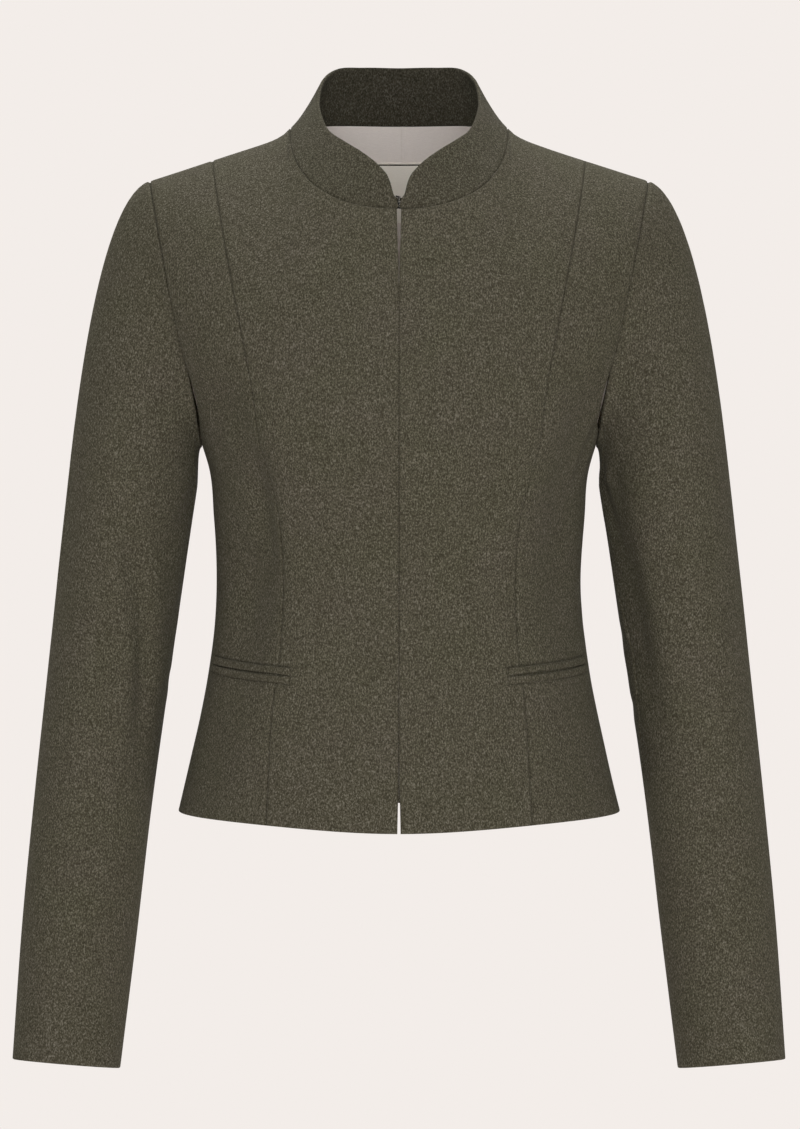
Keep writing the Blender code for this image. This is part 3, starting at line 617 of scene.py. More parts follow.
def seam_rows(seam, heights):
    """Angle and height along a seam."""
    return np.stack([seam(heights), heights], axis=-1)


def rows_above(seam, top):
    """Angle and height along a seam from the underarm level to its top, closer together near the top."""
    shares = np.sin(HIGH_SHARES * math.pi / 2)
    return seam_rows(seam, between(UNDERARM_HEIGHT, top, shares))


def armhole_rows(front):
    """Angle and height up the armhole from the underarm to the shoulder tip."""
    turns = 180.0 * (1.0 - HIGH_SHARES)
    smallest = 1e-9
    if not front:
        turns = -np.maximum(turns, smallest)
    angle, height = armhole_place(turns)
    return np.stack([angle, height], axis=-1)


def lower_block(left_seam, right_seam, u):
    """Places between two seams below the underarm, with the hem's dip fading out upwards."""
    heights = between(HEM_HEIGHT, UNDERARM_HEIGHT, LOW_SHARES)
    angle = mixed(left_seam(heights)[:, None], right_seam(heights)[:, None], u)
    height = mixed(hem_height(angle), UNDERARM_HEIGHT, LOW_SHARES[:, None])
    return np.stack([angle, height], axis=-1)


def upper_block(left, right, top, u):
    """Places inside four edges: a line at the underarm level, two seams and the top edge."""
    u = u[None, :, None]
    v = np.sin(HIGH_SHARES * math.pi / 2)[:, None, None]
    bottom = mixed(left[0], right[0], u)
    across = mixed(left[:, None], right[:, None], u)
    upward = mixed(bottom, top[None], v)
    corners = mixed(bottom, mixed(left[-1], right[-1], u), v)
    return across + upward - corners


def panel_grid(left_seam, right_seam, right_rows, top, u):
    """Angle and height of every grid point of a panel, from the hem to its top edge."""
    low = lower_block(left_seam, right_seam, u)
    corners = top(np.array([0.0, 1.0]))
    left = rows_above(left_seam, corners[0, 1])
    left[-1] = corners[0]
    right_rows[-1] = corners[1]
    right_rows[0, 0] = right_seam(np.array([UNDERARM_HEIGHT]))[0]
    high = upper_block(left, right_rows, top(u), u)
    return np.concatenate([low[:-1], high])


def front_edge(height):
    """Centre front edge of a front panel."""
    return angle_at(front_half_gap(height), height, True)


def princess_seam(shift):
    """Seam between the centre front and the side front, moved to one side by half a gap."""
    return lambda height: angle_at(smooth(PRINCESS_SEAM, "half_width", height) + shift, height, True)


def side_seam(shift):
    """Seam under the arm between front and back."""
    return lambda height: math.pi / 2 + shift / smooth(BODY_SECTIONS, "half_width", height)


def centre_back(height):
    """Seam down the middle of the back."""
    return angle_at(np.full_like(height, CENTRE_BACK_GAP / 2), height, False)


def princess_top(shift):
    """Half distance at which the princess seam meets the shoulder line."""
    x = smooth(PRINCESS_SEAM, "half_width", np.array(0.0))
    for _ in range(SEAM_TRIES):
        x = smooth(PRINCESS_SEAM, "half_width", shoulder_height(x))
    return float(x) + shift


def top_edge(x, height, front):
    """Angle and height of points on a panel's top edge."""
    return np.stack([angle_at(x, height, front), height], axis=-1)


def neck_and_shoulder(u, break_share, start_station, shoulder_end, front):
    """Top edge of a panel: along the neck seam up to one share, then along the shoulder seam."""
    neck_share = np.clip(u / break_share, 0.0, 1.0)
    end_station = SHOULDER_STATION if front else SHOULDER_STATION + JUST_BEHIND
    neck_x, neck_height = neck_place(between(start_station, end_station, neck_share))
    length = shoulder_end - NECK_HALF_WIDTH
    shoulder_x = NECK_HALF_WIDTH + length * (u - break_share) / (1.0 - break_share)
    on_neck = u < break_share
    x = np.where(on_neck, neck_x, shoulder_x)
    height = np.where(on_neck, neck_height, shoulder_height(np.maximum(shoulder_x, NECK_HALF_WIDTH)))
    return top_edge(x, height, front)


def centre_front_grid():
    u = spread(FRONT_COLUMNS, True, True)
    seam = princess_seam(-SEAM_GAP / 2)
    end = princess_top(-SEAM_GAP / 2)
    seam_end = float(shoulder_height(np.array(end)))
    top = lambda shares: neck_and_shoulder(shares, FRONT_NECK_SHARE, 0.0, end, True)
    return panel_grid(front_edge, seam, rows_above(seam, seam_end), top, u)


def side_front_grid():
    u = spread(SIDE_COLUMNS, True, True)
    start = princess_top(SEAM_GAP / 2)

    def top(shares):
        x = between(start, SHOULDER_HALF_WIDTH, shares)
        return top_edge(x, shoulder_height(x), True)

    return panel_grid(princess_seam(SEAM_GAP / 2), side_seam(-SEAM_GAP / 2), armhole_rows(True), top, u)


def back_grid(u):
    start = CENTRE_BACK_STATION
    top = lambda shares: neck_and_shoulder(shares, BACK_NECK_SHARE, start, SHOULDER_HALF_WIDTH, False)
    return panel_grid(centre_back, side_seam(SEAM_GAP / 2), armhole_rows(False), top, u)


# Sleeve surface

def armhole_frame(turn):
    """Points of the armhole edge and the direction in which the sleeve leaves it."""
    wrapped = np.where(turn > 180.0, turn - 360.0, turn)
    angle, height = armhole_place(wrapped)
    step = 0.05
    later = np.where(wrapped + step > 180.0, wrapped + step - 360.0, wrapped + step)
    earlier = np.where(wrapped - step < -180.0, wrapped - step + 360.0, wrapped - step)
    edge = unit(body_point(*armhole_place(later)) - body_point(*armhole_place(earlier)))
    away = unit(np.cross(body_normal(angle, height), edge))
    outward = np.array([1.0, 0.0, 0.0])
    turn_share = ease(*UNDERARM_TURN, np.abs(wrapped))[..., None]
    return body_point(angle, height), unit(mixed(away, outward, turn_share))


def arm_point(turn, drop, folds):
    """Sleeve surface below the underarm."""
    centre_x, centre_y, half_width, half_depth = smooth_row(SLEEVE_SECTIONS, drop)
    for fold in folds:
        apart = np.mod(turn - fold.angle + 180.0, 360.0) - 180.0
        dent = fold.depth * bump(apart, fold.wide) * bump(drop - fold.drop, fold.tall)
        half_width = half_width - dent
        half_depth = half_depth - dent
    short_step = 1e-3
    step = np.where(drop > 0.5 * SLEEVE_LENGTH, -short_step, short_step)
    lean = (smooth(SLEEVE_SECTIONS, "centre_x", drop + step) - centre_x) / step
    across = np.cos(np.radians(turn)) * half_width
    forward = np.sin(np.radians(turn)) * half_depth
    stretch = np.sqrt(1.0 + lean ** 2)
    x = centre_x + across / stretch
    z = FIRST_RING_HEIGHT - drop + across * lean / stretch
    z = z + forward * CUFF_TILT * ease(0.0, SLEEVE_LENGTH, drop)
    return np.stack([x, centre_y - forward, z], axis=-1)


def sleeve_point(turn, travel, folds):
    """Sleeve surface from the armhole, travel 0, to the cuff, travel 1."""
    start, away = armhole_frame(turn)
    start = start + SEAM_GAP * away
    ring = arm_point(turn, np.zeros_like(travel), folds)
    step_drop = 2e-3
    below = arm_point(turn, np.full_like(travel, step_drop), folds)
    chord = np.linalg.norm(ring - start, axis=-1, keepdims=True)
    height_share = (0.5 * (1.0 + np.cos(np.radians(turn))))[..., None]
    start_pull = between(*CAP_START_PULL, height_share)
    end_pull = between(*CAP_END_PULL, height_share)
    t = np.clip(travel / CAP_SHARE, 0.0, 1.0)[..., None] ** CAP_SPACING
    cap = (1 + 2 * t) * (1 - t) ** 2 * start + t * (1 - t) ** 2 * chord * start_pull * away
    cap = cap + t * t * (3 - 2 * t) * ring + t * t * (t - 1) * chord * end_pull * unit(below - ring)
    drop = SLEEVE_LENGTH * np.clip((travel - CAP_SHARE) / (1.0 - CAP_SHARE), 0.0, 1.0)
    return np.where((travel <= CAP_SHARE)[..., None], cap, arm_point(turn, drop, folds))


def sleeve_grid(seams, upper):
    """Turn and travel of every grid point of an upper or under sleeve."""
    cap = CAP_SHARE * spread(CAP_ROWS, True, False)
    arm = CAP_SHARE + (1.0 - CAP_SHARE) * spread(ARM_ROWS, False, True)
    travel = np.concatenate([cap, arm[1:]])
    narrowest = SLEEVE_SECTIONS[-1].half_depth
    trim = math.degrees(SEAM_GAP / 2 / narrowest)
    front = smooth(seams, "front", travel)
    back = smooth(seams, "back", travel)
    start = back + trim if upper else front + trim
    end = front - trim if upper else back + 360.0 - trim
    u = spread(UPPER_SLEEVE_COLUMNS if upper else UNDER_SLEEVE_COLUMNS, True, True)
    turn = mixed(start[:, None], end[:, None], u)
    return turn, np.broadcast_to(travel[:, None], turn.shape)


def sleeve_creases(turn, travel, creases):
    """Height of the creases of one sleeve."""
    on_cap = CAP_LENGTH * (travel / CAP_SHARE - 1.0)
    below = SLEEVE_LENGTH * (travel - CAP_SHARE) / (1.0 - CAP_SHARE)
    fall = np.where(travel < CAP_SHARE, on_cap, below)
    total = 0.0 * fall
    for whole_turn in (-360.0, 0.0, 360.0):
        across = np.radians(turn + whole_turn) * SLEEVE_RADIUS
        for crease in creases:
            start = (math.radians(crease.turn) * SLEEVE_RADIUS, crease.fall)
            end = (math.radians(crease.to_turn) * SLEEVE_RADIUS, crease.to_fall)
            total = total + crease_shape(across, fall, start, end, crease.wide, crease.deep)
    return total


# Collar surface

def neck_seam(place):
    """Station, points and outward directions of the neck seam, from -1, right front end, over 0 to 1."""
    station = CENTRE_BACK_STATION * (1.0 - np.abs(place))
    x, height = neck_place(station)
    angle = np.where(station <= SHOULDER_STATION, angle_at(x, height, True), angle_at(x, height, False))
    return station, body_point(angle, height), body_normal(angle, height)


def collar_point(place, rise):
    """Collar face: place runs round the neck seam, rise goes from the seam to the edge."""
    station, seam, _ = neck_seam(place)
    edge = np.stack(smooth_row(COLLAR_EDGE, station), axis=-1)
    seam = seam + COLLAR_GAP * unit(edge - seam)
    inward = edge * np.array([-1.0, -1.0, 0.0]) + np.array([0.0, SHOULDER_SEAM_Y, 0.0])
    hollow = COLLAR_HOLLOW * np.sin(math.pi * rise) * ease(0.0, COLLAR_END_STATION, station)
    point = mixed(seam, edge, rise[..., None]) + hollow[..., None] * unit(inward)
    return point * both_sides(place)


def both_sides(place):
    """Mirror factors for places left and right of the centre back."""
    side = np.where(place < 0.0, RIGHT, LEFT)
    return np.stack([side, np.ones_like(side), np.ones_like(side)], axis=-1)


def collar_normal(face, place, rise):
    """Outward direction of the collar, turned to that of the body along the neck seam."""
    seam = neck_seam(place)[2] * both_sides(place)
    share = ease(0.0, COLLAR_MITRE, rise)[..., None]
    return unit(mixed(seam, -grid_normal(face), share))


# Materials: noises, stretches along the grain, and colours at places of a noise

Grain = namedtuple("Grain", "scale detail roughness")
FIBRES = Grain(1040.0, 2.0, 0.60)
NAP = Grain(1500.0, 2.0, 0.60)
PATCHES = Grain(24.0, 3.0, 0.55)
WEAR = Grain(900.0, 3.0, 0.60)
FLOOR_GRAIN = Grain(3.0, 2.0, 0.50)
WOOL_STRETCH = (1.0, 1.0, 0.62)
WARP_STRETCH = (1.0, 1.0, 0.12)
WEFT_STRETCH = (0.12, 0.12, 1.0)
WOOL_SHEEN = 0.05
WOOL_COLOURS = (
    (0.30, (0.030, 0.0265, 0.0160)),
    (0.46, (0.060, 0.0540, 0.0350)),
    (0.55, (0.086, 0.0780, 0.0540)),
    (0.70, (0.172, 0.1600, 0.1240)),
)
PATCH_COLOURS = ((0.32, (0.970, 0.985, 0.950)), (0.68, (1.025, 1.010, 1.040)))
WIRE_COLOURS = ((0.45, (0.012, 0.012, 0.012)), (0.75, (0.060, 0.055, 0.050)))
WIRE_ROUGHNESS = ((0.35, (0.28, 0.28, 0.28)), (0.70, (0.50, 0.50, 0.50)))
FLOOR_COLOURS = ((0.30, (0.800, 0.755, 0.725)), (0.70, (0.815, 0.770, 0.740)))
WEAVE_PLACES = (0.30, 0.70)

# Sockets of the colour mix node
MIX_SHARE = 0
MIX_FIRST = 6
MIX_SECOND = 7
MIX_RESULT = 2


def new_material(name):
    """A node material with its node tree, its Principled shader and its object coordinates."""
    material = bpy.data.materials.new(name)
    material.use_nodes = True
    tree = material.node_tree
    place = tree.nodes.new("ShaderNodeTexCoord").outputs["Object"]
    return material, tree, tree.nodes["Principled BSDF"], place


def set_inputs(node, values):
    """Set some inputs of a shader node by name."""
    for name, value in values.items():
        node.inputs[name].default_value = value


def add_node(tree, kind, **values):
    """A shader node with some of its inputs set by name."""
    node = tree.nodes.new(kind)
    set_inputs(node, values)
    return node


def noise(tree, place, grain):
    """A noise texture at a given place."""
    node = add_node(
        tree, "ShaderNodeTexNoise", Scale=grain.scale, Detail=grain.detail, Roughness=grain.roughness
    )
    tree.links.new(place, node.inputs["Vector"])
    return node.outputs["Fac"]


def stretched(tree, place, scale):
    """Object coordinates stretched along the grain."""
    node = add_node(tree, "ShaderNodeMapping", Scale=scale)
    tree.links.new(place, node.inputs["Vector"])
    return node.outputs["Vector"]


def ramp(tree, value, stops):
    """A colour ramp through a few stops."""
    node = tree.nodes.new("ShaderNodeValToRGB")
    tree.links.new(value, node.inputs["Fac"])
    places = node.color_ramp.elements
    while len(places) < len(stops):
        places.new(0.5)
    for place, (at, colour) in zip(places, stops):
        place.position = at
        place.color = (*colour, 1.0)
    return node.outputs["Color"]


def mix_colour(tree, how, share, first, second):
    """Mix two colours by a fixed share."""
    node = tree.nodes.new("ShaderNodeMix")
    node.data_type = "RGBA"
    node.blend_type = how
    node.inputs[MIX_SHARE].default_value = share
    tree.links.new(first, node.inputs[MIX_FIRST])
    tree.links.new(second, node.inputs[MIX_SECOND])
    return node.outputs[MIX_RESULT]


def bumped(tree, height, strength, distance, before=None):
    """A bump node, over an earlier one if there is one."""
    node = add_node(tree, "ShaderNodeBump", Strength=strength, Distance=distance)
    tree.links.new(height, node.inputs["Height"])
    if before is not None:
        tree.links.new(before, node.inputs["Normal"])
    return node.outputs["Normal"]


def wool_material(name, tone):
    """Felted wool flannel: olive brown ground with paler and darker fibres and a short matt nap."""
    material, tree, shader, place = new_material(name)
    grain = stretched(tree, place, WOOL_STRETCH)
    fibres = noise(tree, grain, FIBRES)
    # A tone below 1 darkens the whole wool: the darker copies made with it are painted shade.
    base = ramp(tree, fibres, [(at, [tone * value for value in colour]) for at, colour in WOOL_COLOURS])
    patches = ramp(tree, noise(tree, place, PATCHES), PATCH_COLOURS)
    colour = mix_colour(tree, "MULTIPLY", 1.0, base, patches)
    tree.links.new(colour, shader.inputs["Base Color"])
    normal = bumped(tree, fibres, strength=0.55, distance=0.0006)
    normal = bumped(tree, noise(tree, grain, NAP), strength=0.35, distance=0.0003, before=normal)
    tree.links.new(normal, shader.inputs["Normal"])
    set_inputs(shader, {
        "Roughness": 0.95,
        "Specular IOR Level": 0.15,
        "Sheen Weight": WOOL_SHEEN * tone,
        "Sheen Roughness": 0.55,
        "Sheen Tint": (0.80, 0.76, 0.58, 1.0),
    })
    return material


def woven_material(name, colours, thread, roughness, sheen):
    """A fine smooth weave: crossing threads, a soft sheen and a little unevenness."""
    material, tree, shader, place = new_material(name)
    grain = Grain(thread, 1.0, 0.5)
    warp = noise(tree, stretched(tree, place, WARP_STRETCH), grain)
    weft = noise(tree, stretched(tree, place, WEFT_STRETCH), grain)
    stops = list(zip(WEAVE_PLACES, colours))
    colour = mix_colour(tree, "MIX", 0.5, ramp(tree, warp, stops), ramp(tree, weft, stops))
    tree.links.new(colour, shader.inputs["Base Color"])
    normal = bumped(tree, warp, strength=0.20, distance=0.0002)
    normal = bumped(tree, weft, strength=0.20, distance=0.0002, before=normal)
    tree.links.new(normal, shader.inputs["Normal"])
    set_inputs(shader, {"Roughness": roughness, "Sheen Weight": sheen})
    return material


def wire_material():
    """Black enamelled wire, a little worn and uneven."""
    material, tree, shader, place = new_material("wire")
    wear = noise(tree, place, WEAR)
    tree.links.new(ramp(tree, wear, WIRE_COLOURS), shader.inputs["Base Color"])
    tree.links.new(ramp(tree, wear, WIRE_ROUGHNESS), shader.inputs["Roughness"])
    return material


def floor_material():
    """Pale warm studio floor."""
    material, tree, shader, place = new_material("floor")
    colour = ramp(tree, noise(tree, place, FLOOR_GRAIN), FLOOR_COLOURS)
    tree.links.new(colour, shader.inputs["Base Color"])
    set_inputs(shader, {"Roughness": 0.9})
    return material


WOOL = wool_material("wool", 1.0)
# A somewhat darker copy of the same wool for the collar: painted shade.
SHADED_COLLAR_WOOL = wool_material("wool_collar_painted_shade", 0.84)
# A much darker copy of the same wool: painted shade, used inside the collar, on the lining's back and rim
# and for the label's dark line.
PAINTED_SHADE_WOOL = wool_material("wool_painted_shade", 0.52)
LINING = woven_material("lining", ((0.80, 0.735, 0.690), (0.90, 0.835, 0.790)), 2600.0, 0.42, 0.10)
LABEL = woven_material("label", ((0.93, 0.885, 0.790), (1.00, 0.955, 0.860)), 3200.0, 0.60, 0.05)
THREAD = woven_material("thread", ((0.014, 0.013, 0.011), (0.040, 0.038, 0.032)), 5200.0, 0.80, 0.10)
WIRE = wire_material()


# Building

def mirrored(points, side):
    """Points of the left half, or their mirror image for the right half."""
    return points * np.array([side, 1.0, 1.0])


def quads(rows, columns, offset, turned):
    """Faces of a grid of points, by point number."""
    row, column = np.meshgrid(np.arange(rows - 1), np.arange(columns - 1), indexing="ij")
    first = offset + row * columns + column
    faces = np.stack([first, first + 1, first + 1 + columns, first + columns], axis=-1).reshape(-1, 4)
    return faces[:, ::-1] if turned else faces


def rim_quads(rows, columns, offset, turned):
    """Faces that close the rim between two grids of points."""
    around = np.concatenate([
        np.arange(columns - 1),
        columns * np.arange(rows - 1) + columns - 1,
        (rows - 1) * columns + np.arange(columns - 1, 0, -1),
        columns * np.arange(rows - 1, 0, -1),
    ])
    after = np.roll(around, -1)
    faces = np.stack([after, around, around + offset, after + offset], axis=-1)
    return faces[:, ::-1] if turned else faces


def shell_faces(rows, columns, turned):
    """Faces of a closed shell: its outer grid, its inner grid and the rim between them."""
    count = rows * columns
    return np.concatenate([
        quads(rows, columns, 0, turned),
        quads(rows, columns, count, not turned),
        rim_quads(rows, columns, count, turned),
    ])


def make_mesh(name, points, faces, numbers, materials):
    """A smooth mesh object from points, four-sided faces and a material number for each face."""
    mesh = bpy.data.meshes.new(name)
    mesh.vertices.add(len(points))
    mesh.vertices.foreach_set("co", points.astype(np.float32).ravel())
    mesh.loops.add(4 * len(faces))
    mesh.loops.foreach_set("vertex_index", faces.astype(np.int32).ravel())
    mesh.polygons.add(len(faces))
    mesh.polygons.foreach_set("loop_start", np.arange(0, 4 * len(faces), 4, dtype=np.int32))
    for material in materials:
        mesh.materials.append(material)
    mesh.polygons.foreach_set("material_index", numbers.astype(np.int32))
    mesh.update(calc_edges=True)
    mesh.validate()
    mesh.shade_smooth()
    piece = bpy.data.objects.new(name, mesh)
    bpy.context.scene.collection.objects.link(piece)
    return piece


def grid_normal(face):
    """Direction out of a grid of points, from its columns towards its rows."""
    return unit(np.cross(np.gradient(face, axis=1), np.gradient(face, axis=0)))


def edge_distances(face):
    """Distance of every grid point from the left, right, bottom and top edge of its grid."""
    steps = np.linalg.norm(np.diff(face, axis=1), axis=-1)
    from_left = np.concatenate([np.zeros((len(face), 1)), np.cumsum(steps, axis=1)], axis=1)
    steps = np.linalg.norm(np.diff(face, axis=0), axis=-1)
    from_bottom = np.concatenate([np.zeros((1, face.shape[1])), np.cumsum(steps, axis=0)])
    return (from_left, from_left[:, -1:] - from_left, from_bottom, from_bottom[-1:] - from_bottom)


def rounded(distance, radius):
    """How far the face of a folded edge sinks near its fold."""
    inside = np.clip(radius - distance, 0.0, radius)
    return radius - np.sqrt(radius ** 2 - inside ** 2)


def cloth_shell(name, face, normal, edges, thickness, side, turned, materials, facings=(), rim=0):
    """A closed thin shell of cloth, its left, right, bottom and top edges each rolled or folded.

    The inner face has the second material, if there is one, except on the facings along its edges.
    """
    distances = edge_distances(face)
    sink = np.zeros(face.shape[:2])
    lift = np.zeros(face.shape[:2])
    for kind, distance in zip(edges, distances):
        if kind == "fold":
            roll = rounded(distance, thickness * FOLD_SHARE)
            sink = np.maximum(sink, roll)
            lift = np.maximum(lift, roll)
        else:
            edge = EDGE_ROLLS[kind]
            depth = min(edge.sink, ROLL_LIMIT * thickness)
            sink = np.maximum(sink, depth * np.exp(-((distance / edge.roll) ** ROLL_POWER)))
    outer = face - sink[..., None] * normal
    inner = face - (thickness - lift)[..., None] * normal
    rows, columns = face.shape[:2]
    faces = shell_faces(rows, columns, turned != (side == RIGHT))
    lined = np.ones(face.shape[:2])
    for distance, width in zip(distances, facings):
        lined = np.where(distance < width, 0.0, lined)
    per_side = (rows - 1) * (columns - 1)
    numbers = np.zeros(len(faces))
    if len(materials) > 1:
        numbers[per_side:2 * per_side] = lined[:-1, :-1].ravel()
        numbers[2 * per_side:] = rim
    points = np.concatenate([outer.reshape(-1, 3), inner.reshape(-1, 3)])
    return make_mesh(name, mirrored(points, side), faces, numbers, materials)


def place_piece(piece, node):
    """Put a piece on the jacket in place of its solid."""
    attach(piece, "root")
    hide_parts(node)


POCKET_INNER_ANGLE = float(angle_at(np.array(POCKET_INNER_X), np.array(POCKET_INNER_HEIGHT), True))


def pocket_groove(angle, height):
    """Depth of the sewn line round the two welts of a pocket and of the slit between them."""
    share = (angle - POCKET_INNER_ANGLE) / (POCKET_OUTER_ANGLE - POCKET_INNER_ANGLE)
    length = (POCKET_OUTER_ANGLE - POCKET_INNER_ANGLE) * BODY_RADIUS
    middle = between(POCKET_INNER_HEIGHT, POCKET_OUTER_HEIGHT, share)
    past_end = np.abs(share - 0.5) * length - 0.5 * length
    past_edge = np.abs(height - middle) - JET_HEIGHT - JET_HALF_GAP
    outline = np.where(
        (past_end > 0.0) & (past_edge > 0.0), np.hypot(past_end, past_edge), np.maximum(past_end, past_edge)
    )
    within = ease(-SLIT_END_SOFTNESS, SLIT_END_SOFTNESS, share)
    within = within * (1.0 - ease(1.0 - SLIT_END_SOFTNESS, 1.0 + SLIT_END_SOFTNESS, share))
    slit = SLIT_GROOVE * within * bump(height - middle, SLIT_GROOVE_WIDTH)
    groove = np.where(height > middle, *POCKET_GROOVE)
    return groove * bump(outline, POCKET_GROOVE_WIDTH) + slit


def body_panel(name, grid, side, turned, edges, facings):
    """A body panel with its creases and, where a pocket lies on it, the groove round that."""
    angle = grid[..., 0]
    height = grid[..., 1]
    normal = body_normal(angle, height)
    relief = body_creases(angle, height, side) - pocket_groove(angle, height)
    face = body_point(angle, height) + relief[..., None] * normal
    piece = cloth_shell(name + "_cloth", face, normal, edges, CLOTH, side, turned, (WOOL, LINING), facings)
    place_piece(piece, name)


def sleeve_panel(name, seams, folds, creases, upper, side):
    """An upper or under sleeve with its creases."""
    turn, travel = sleeve_grid(seams, upper)
    face = sleeve_point(turn, travel, folds)
    face = face + sleeve_creases(turn, travel, creases)[..., None] * grid_normal(face)
    edges = ("seam", "seam", "armhole", "fold")
    facings = (0.0, 0.0, ARMHOLE_FACING, HEM_FACING)
    normal = grid_normal(face)
    piece = cloth_shell(name + "_cloth", face, normal, edges, CLOTH, side, False, (WOOL, LINING), facings)
    place_piece(piece, name)


def collar_band():
    """The stand collar from one front end round the back to the other."""
    place, rise = np.meshgrid(
        2.0 * spread(COLLAR_COLUMNS, True, True) - 1.0, spread(COLLAR_ROWS, True, True)
    )
    face = collar_point(place, rise)
    edges = ("fold", "fold", "neck", "fold")
    normal = collar_normal(face, place, rise)
    # Outside and rim in the darker collar copy of the wool, inside in the much darker copy: both painted
    # shade.
    materials = (SHADED_COLLAR_WOOL, PAINTED_SHADE_WOOL)
    piece = cloth_shell("collar_cloth", face, normal, edges, COLLAR_CLOTH, LEFT, True, materials)
    place_piece(piece, "collar")


def jet_height_shape(across, length_shares, length):
    """Height of a pocket welt over the panel: folded at the slit, sewn down at its other edges."""
    at_fold = np.sqrt(1.0 - (1.0 - np.clip(across / JET_FOLD_ROLL, 0.0, 1.0)) ** 2)
    from_seam = JET_HEIGHT - across
    at_seam = np.sin(0.5 * math.pi * np.clip(from_seam / JET_SEAM_ROLL, 0.0, 1.0))
    from_end = np.minimum(length_shares, 1.0 - length_shares) * length
    at_end = np.sin(0.5 * math.pi * np.clip(from_end / JET_SEAM_ROLL, 0.0, 1.0))
    return between(JET_SEAM_LIFT, JET_TOP, np.minimum(np.minimum(at_fold, at_seam), at_end))


def pocket_jet(name, upward, side):
    """One narrow welt of a pocket, lying on the body surface."""
    u, v = np.meshgrid(spread(JET_COLUMNS, True, True), spread(JET_ROWS, True, True))
    angle = between(POCKET_INNER_ANGLE, POCKET_OUTER_ANGLE, u)
    middle = between(POCKET_INNER_HEIGHT, POCKET_OUTER_HEIGHT, u)
    across = JET_HEIGHT * (v if upward else 1.0 - v)
    gape = SLIT_GAPE * np.sin(math.pi * u ** SLIT_GAPE_LEAN) * (1.0 - v if upward else v)
    height = middle + (JET_HALF_GAP + gape + across) * (1.0 if upward else -1.0)
    normal = body_normal(angle, height)
    face = body_point(angle, height) + body_creases(angle, height, side)[..., None] * normal
    length = float(np.linalg.norm(np.diff(face[0], axis=0), axis=-1).sum())
    top = face + jet_height_shape(across, u, length)[..., None] * normal
    under = face + JET_UNDERSIDE * normal
    faces = shell_faces(*u.shape, side == RIGHT)
    points = mirrored(np.concatenate([top.reshape(-1, 3), under.reshape(-1, 3)]), side)
    piece = make_mesh(name + "_cloth", points, faces, np.zeros(len(faces)), (WOOL,))
    place_piece(piece, name)


def across_back(angle, height, depth):
    """A grid on the back and its mirror image as one, this deep below the outer face of the back."""
    half = body_point(angle, height) - depth * body_normal(angle, height)
    middle = half[:, :1] * np.array([0.0, 1.0, 1.0])
    return np.concatenate([mirrored(half[:, :0:-1], RIGHT), middle, half[:, 1:]], axis=1)


def neck_lining():
    """The lining that shows inside the back neck, with a small pleat close to its middle."""
    even = np.linspace(0.0, LINING_LAST_COLUMN, LINING_COLUMNS)
    grid = back_grid(np.unique(np.concatenate([even, np.linspace(*PLEAT_COLUMNS)])))
    first = len(LOW_SHARES) - 1 + int(np.searchsorted(HIGH_SHARES, LINING_FIRST_SHARE))
    grid = grid[first:]
    face = across_back(grid[..., 0], grid[..., 1], CLOTH + LINING_GAP + LINING_CLOTH)
    rise = ease(PLEAT_X[0] - PLEAT_SOFTNESS, PLEAT_X[0] + PLEAT_SOFTNESS, face[..., 0])
    fall = ease(PLEAT_X[1] - PLEAT_SOFTNESS, PLEAT_X[1] + 2 * PLEAT_SOFTNESS, face[..., 0])
    face = face - (PLEAT_LIFT * (rise - fall))[..., None] * BACKWARD
    edges = ("seam", "seam", "seam", "raw")
    normal = grid_normal(face)
    # Its back face and rim are in the much darker wool copy: painted shade along the lining's edge.
    piece = cloth_shell(
        "back_neck_lining_cloth", face, normal, edges, LINING_CLOTH, LEFT, False, (LINING, PAINTED_SHADE_WOOL), rim=1
    )
    place_piece(piece, "back_neck_lining")


def neck_label():
    """The bare label on the lining, with a folded band along its top edge."""
    shares = spread(LABEL_COLUMNS, True, True)
    rises = np.unique(np.concatenate([spread(LABEL_ROWS, True, True), np.linspace(*LABEL_BAND_ROWS)]))
    share, rise = np.meshgrid(shares, rises)
    half = between(0.5 * CENTRE_BACK_GAP, LABEL_HALF_WIDTH, share)
    height = between(LABEL_BOTTOM, LABEL_TOP, rise)
    depth = CLOTH + LINING_GAP + LINING_CLOTH + LABEL_GAP + LABEL_CLOTH
    face = across_back(angle_at(half, height, False), height, depth)
    below_top = LABEL_TOP - face[..., 2]
    softness = LABEL_FOLD_SOFTNESS
    band = 1.0 - ease(LABEL_FOLD_HEIGHT - softness, LABEL_FOLD_HEIGHT + softness, below_top)
    from_groove = below_top - LABEL_FOLD_HEIGHT - LABEL_GROOVE_PLACE
    groove = bump(from_groove, LABEL_GROOVE_WIDTH)
    face = face - (LABEL_FOLD_LIFT * band - LABEL_GROOVE * groove)[..., None] * BACKWARD
    edges = ("fold", "fold", "fold", "fold")
    normal = grid_normal(face)
    piece = cloth_shell("neck_label_cloth", face, normal, edges, LABEL_CLOTH, LEFT, False, (LABEL,))
    place_piece(piece, "neck_label")
    # A dark thread along the groove under the folded band, in the much darker wool copy: partly the stitch
    # line, partly painted shadow under the band.
    row = int(np.argmin(np.abs(from_groove[:, 0])))
    stitch_and_shadow = tube("neck_label_stitch_and_shadow", face[row], LABEL_SHADOW_THREAD, PAINTED_SHADE_WOOL)
    place_piece(stitch_and_shadow, "neck_label")


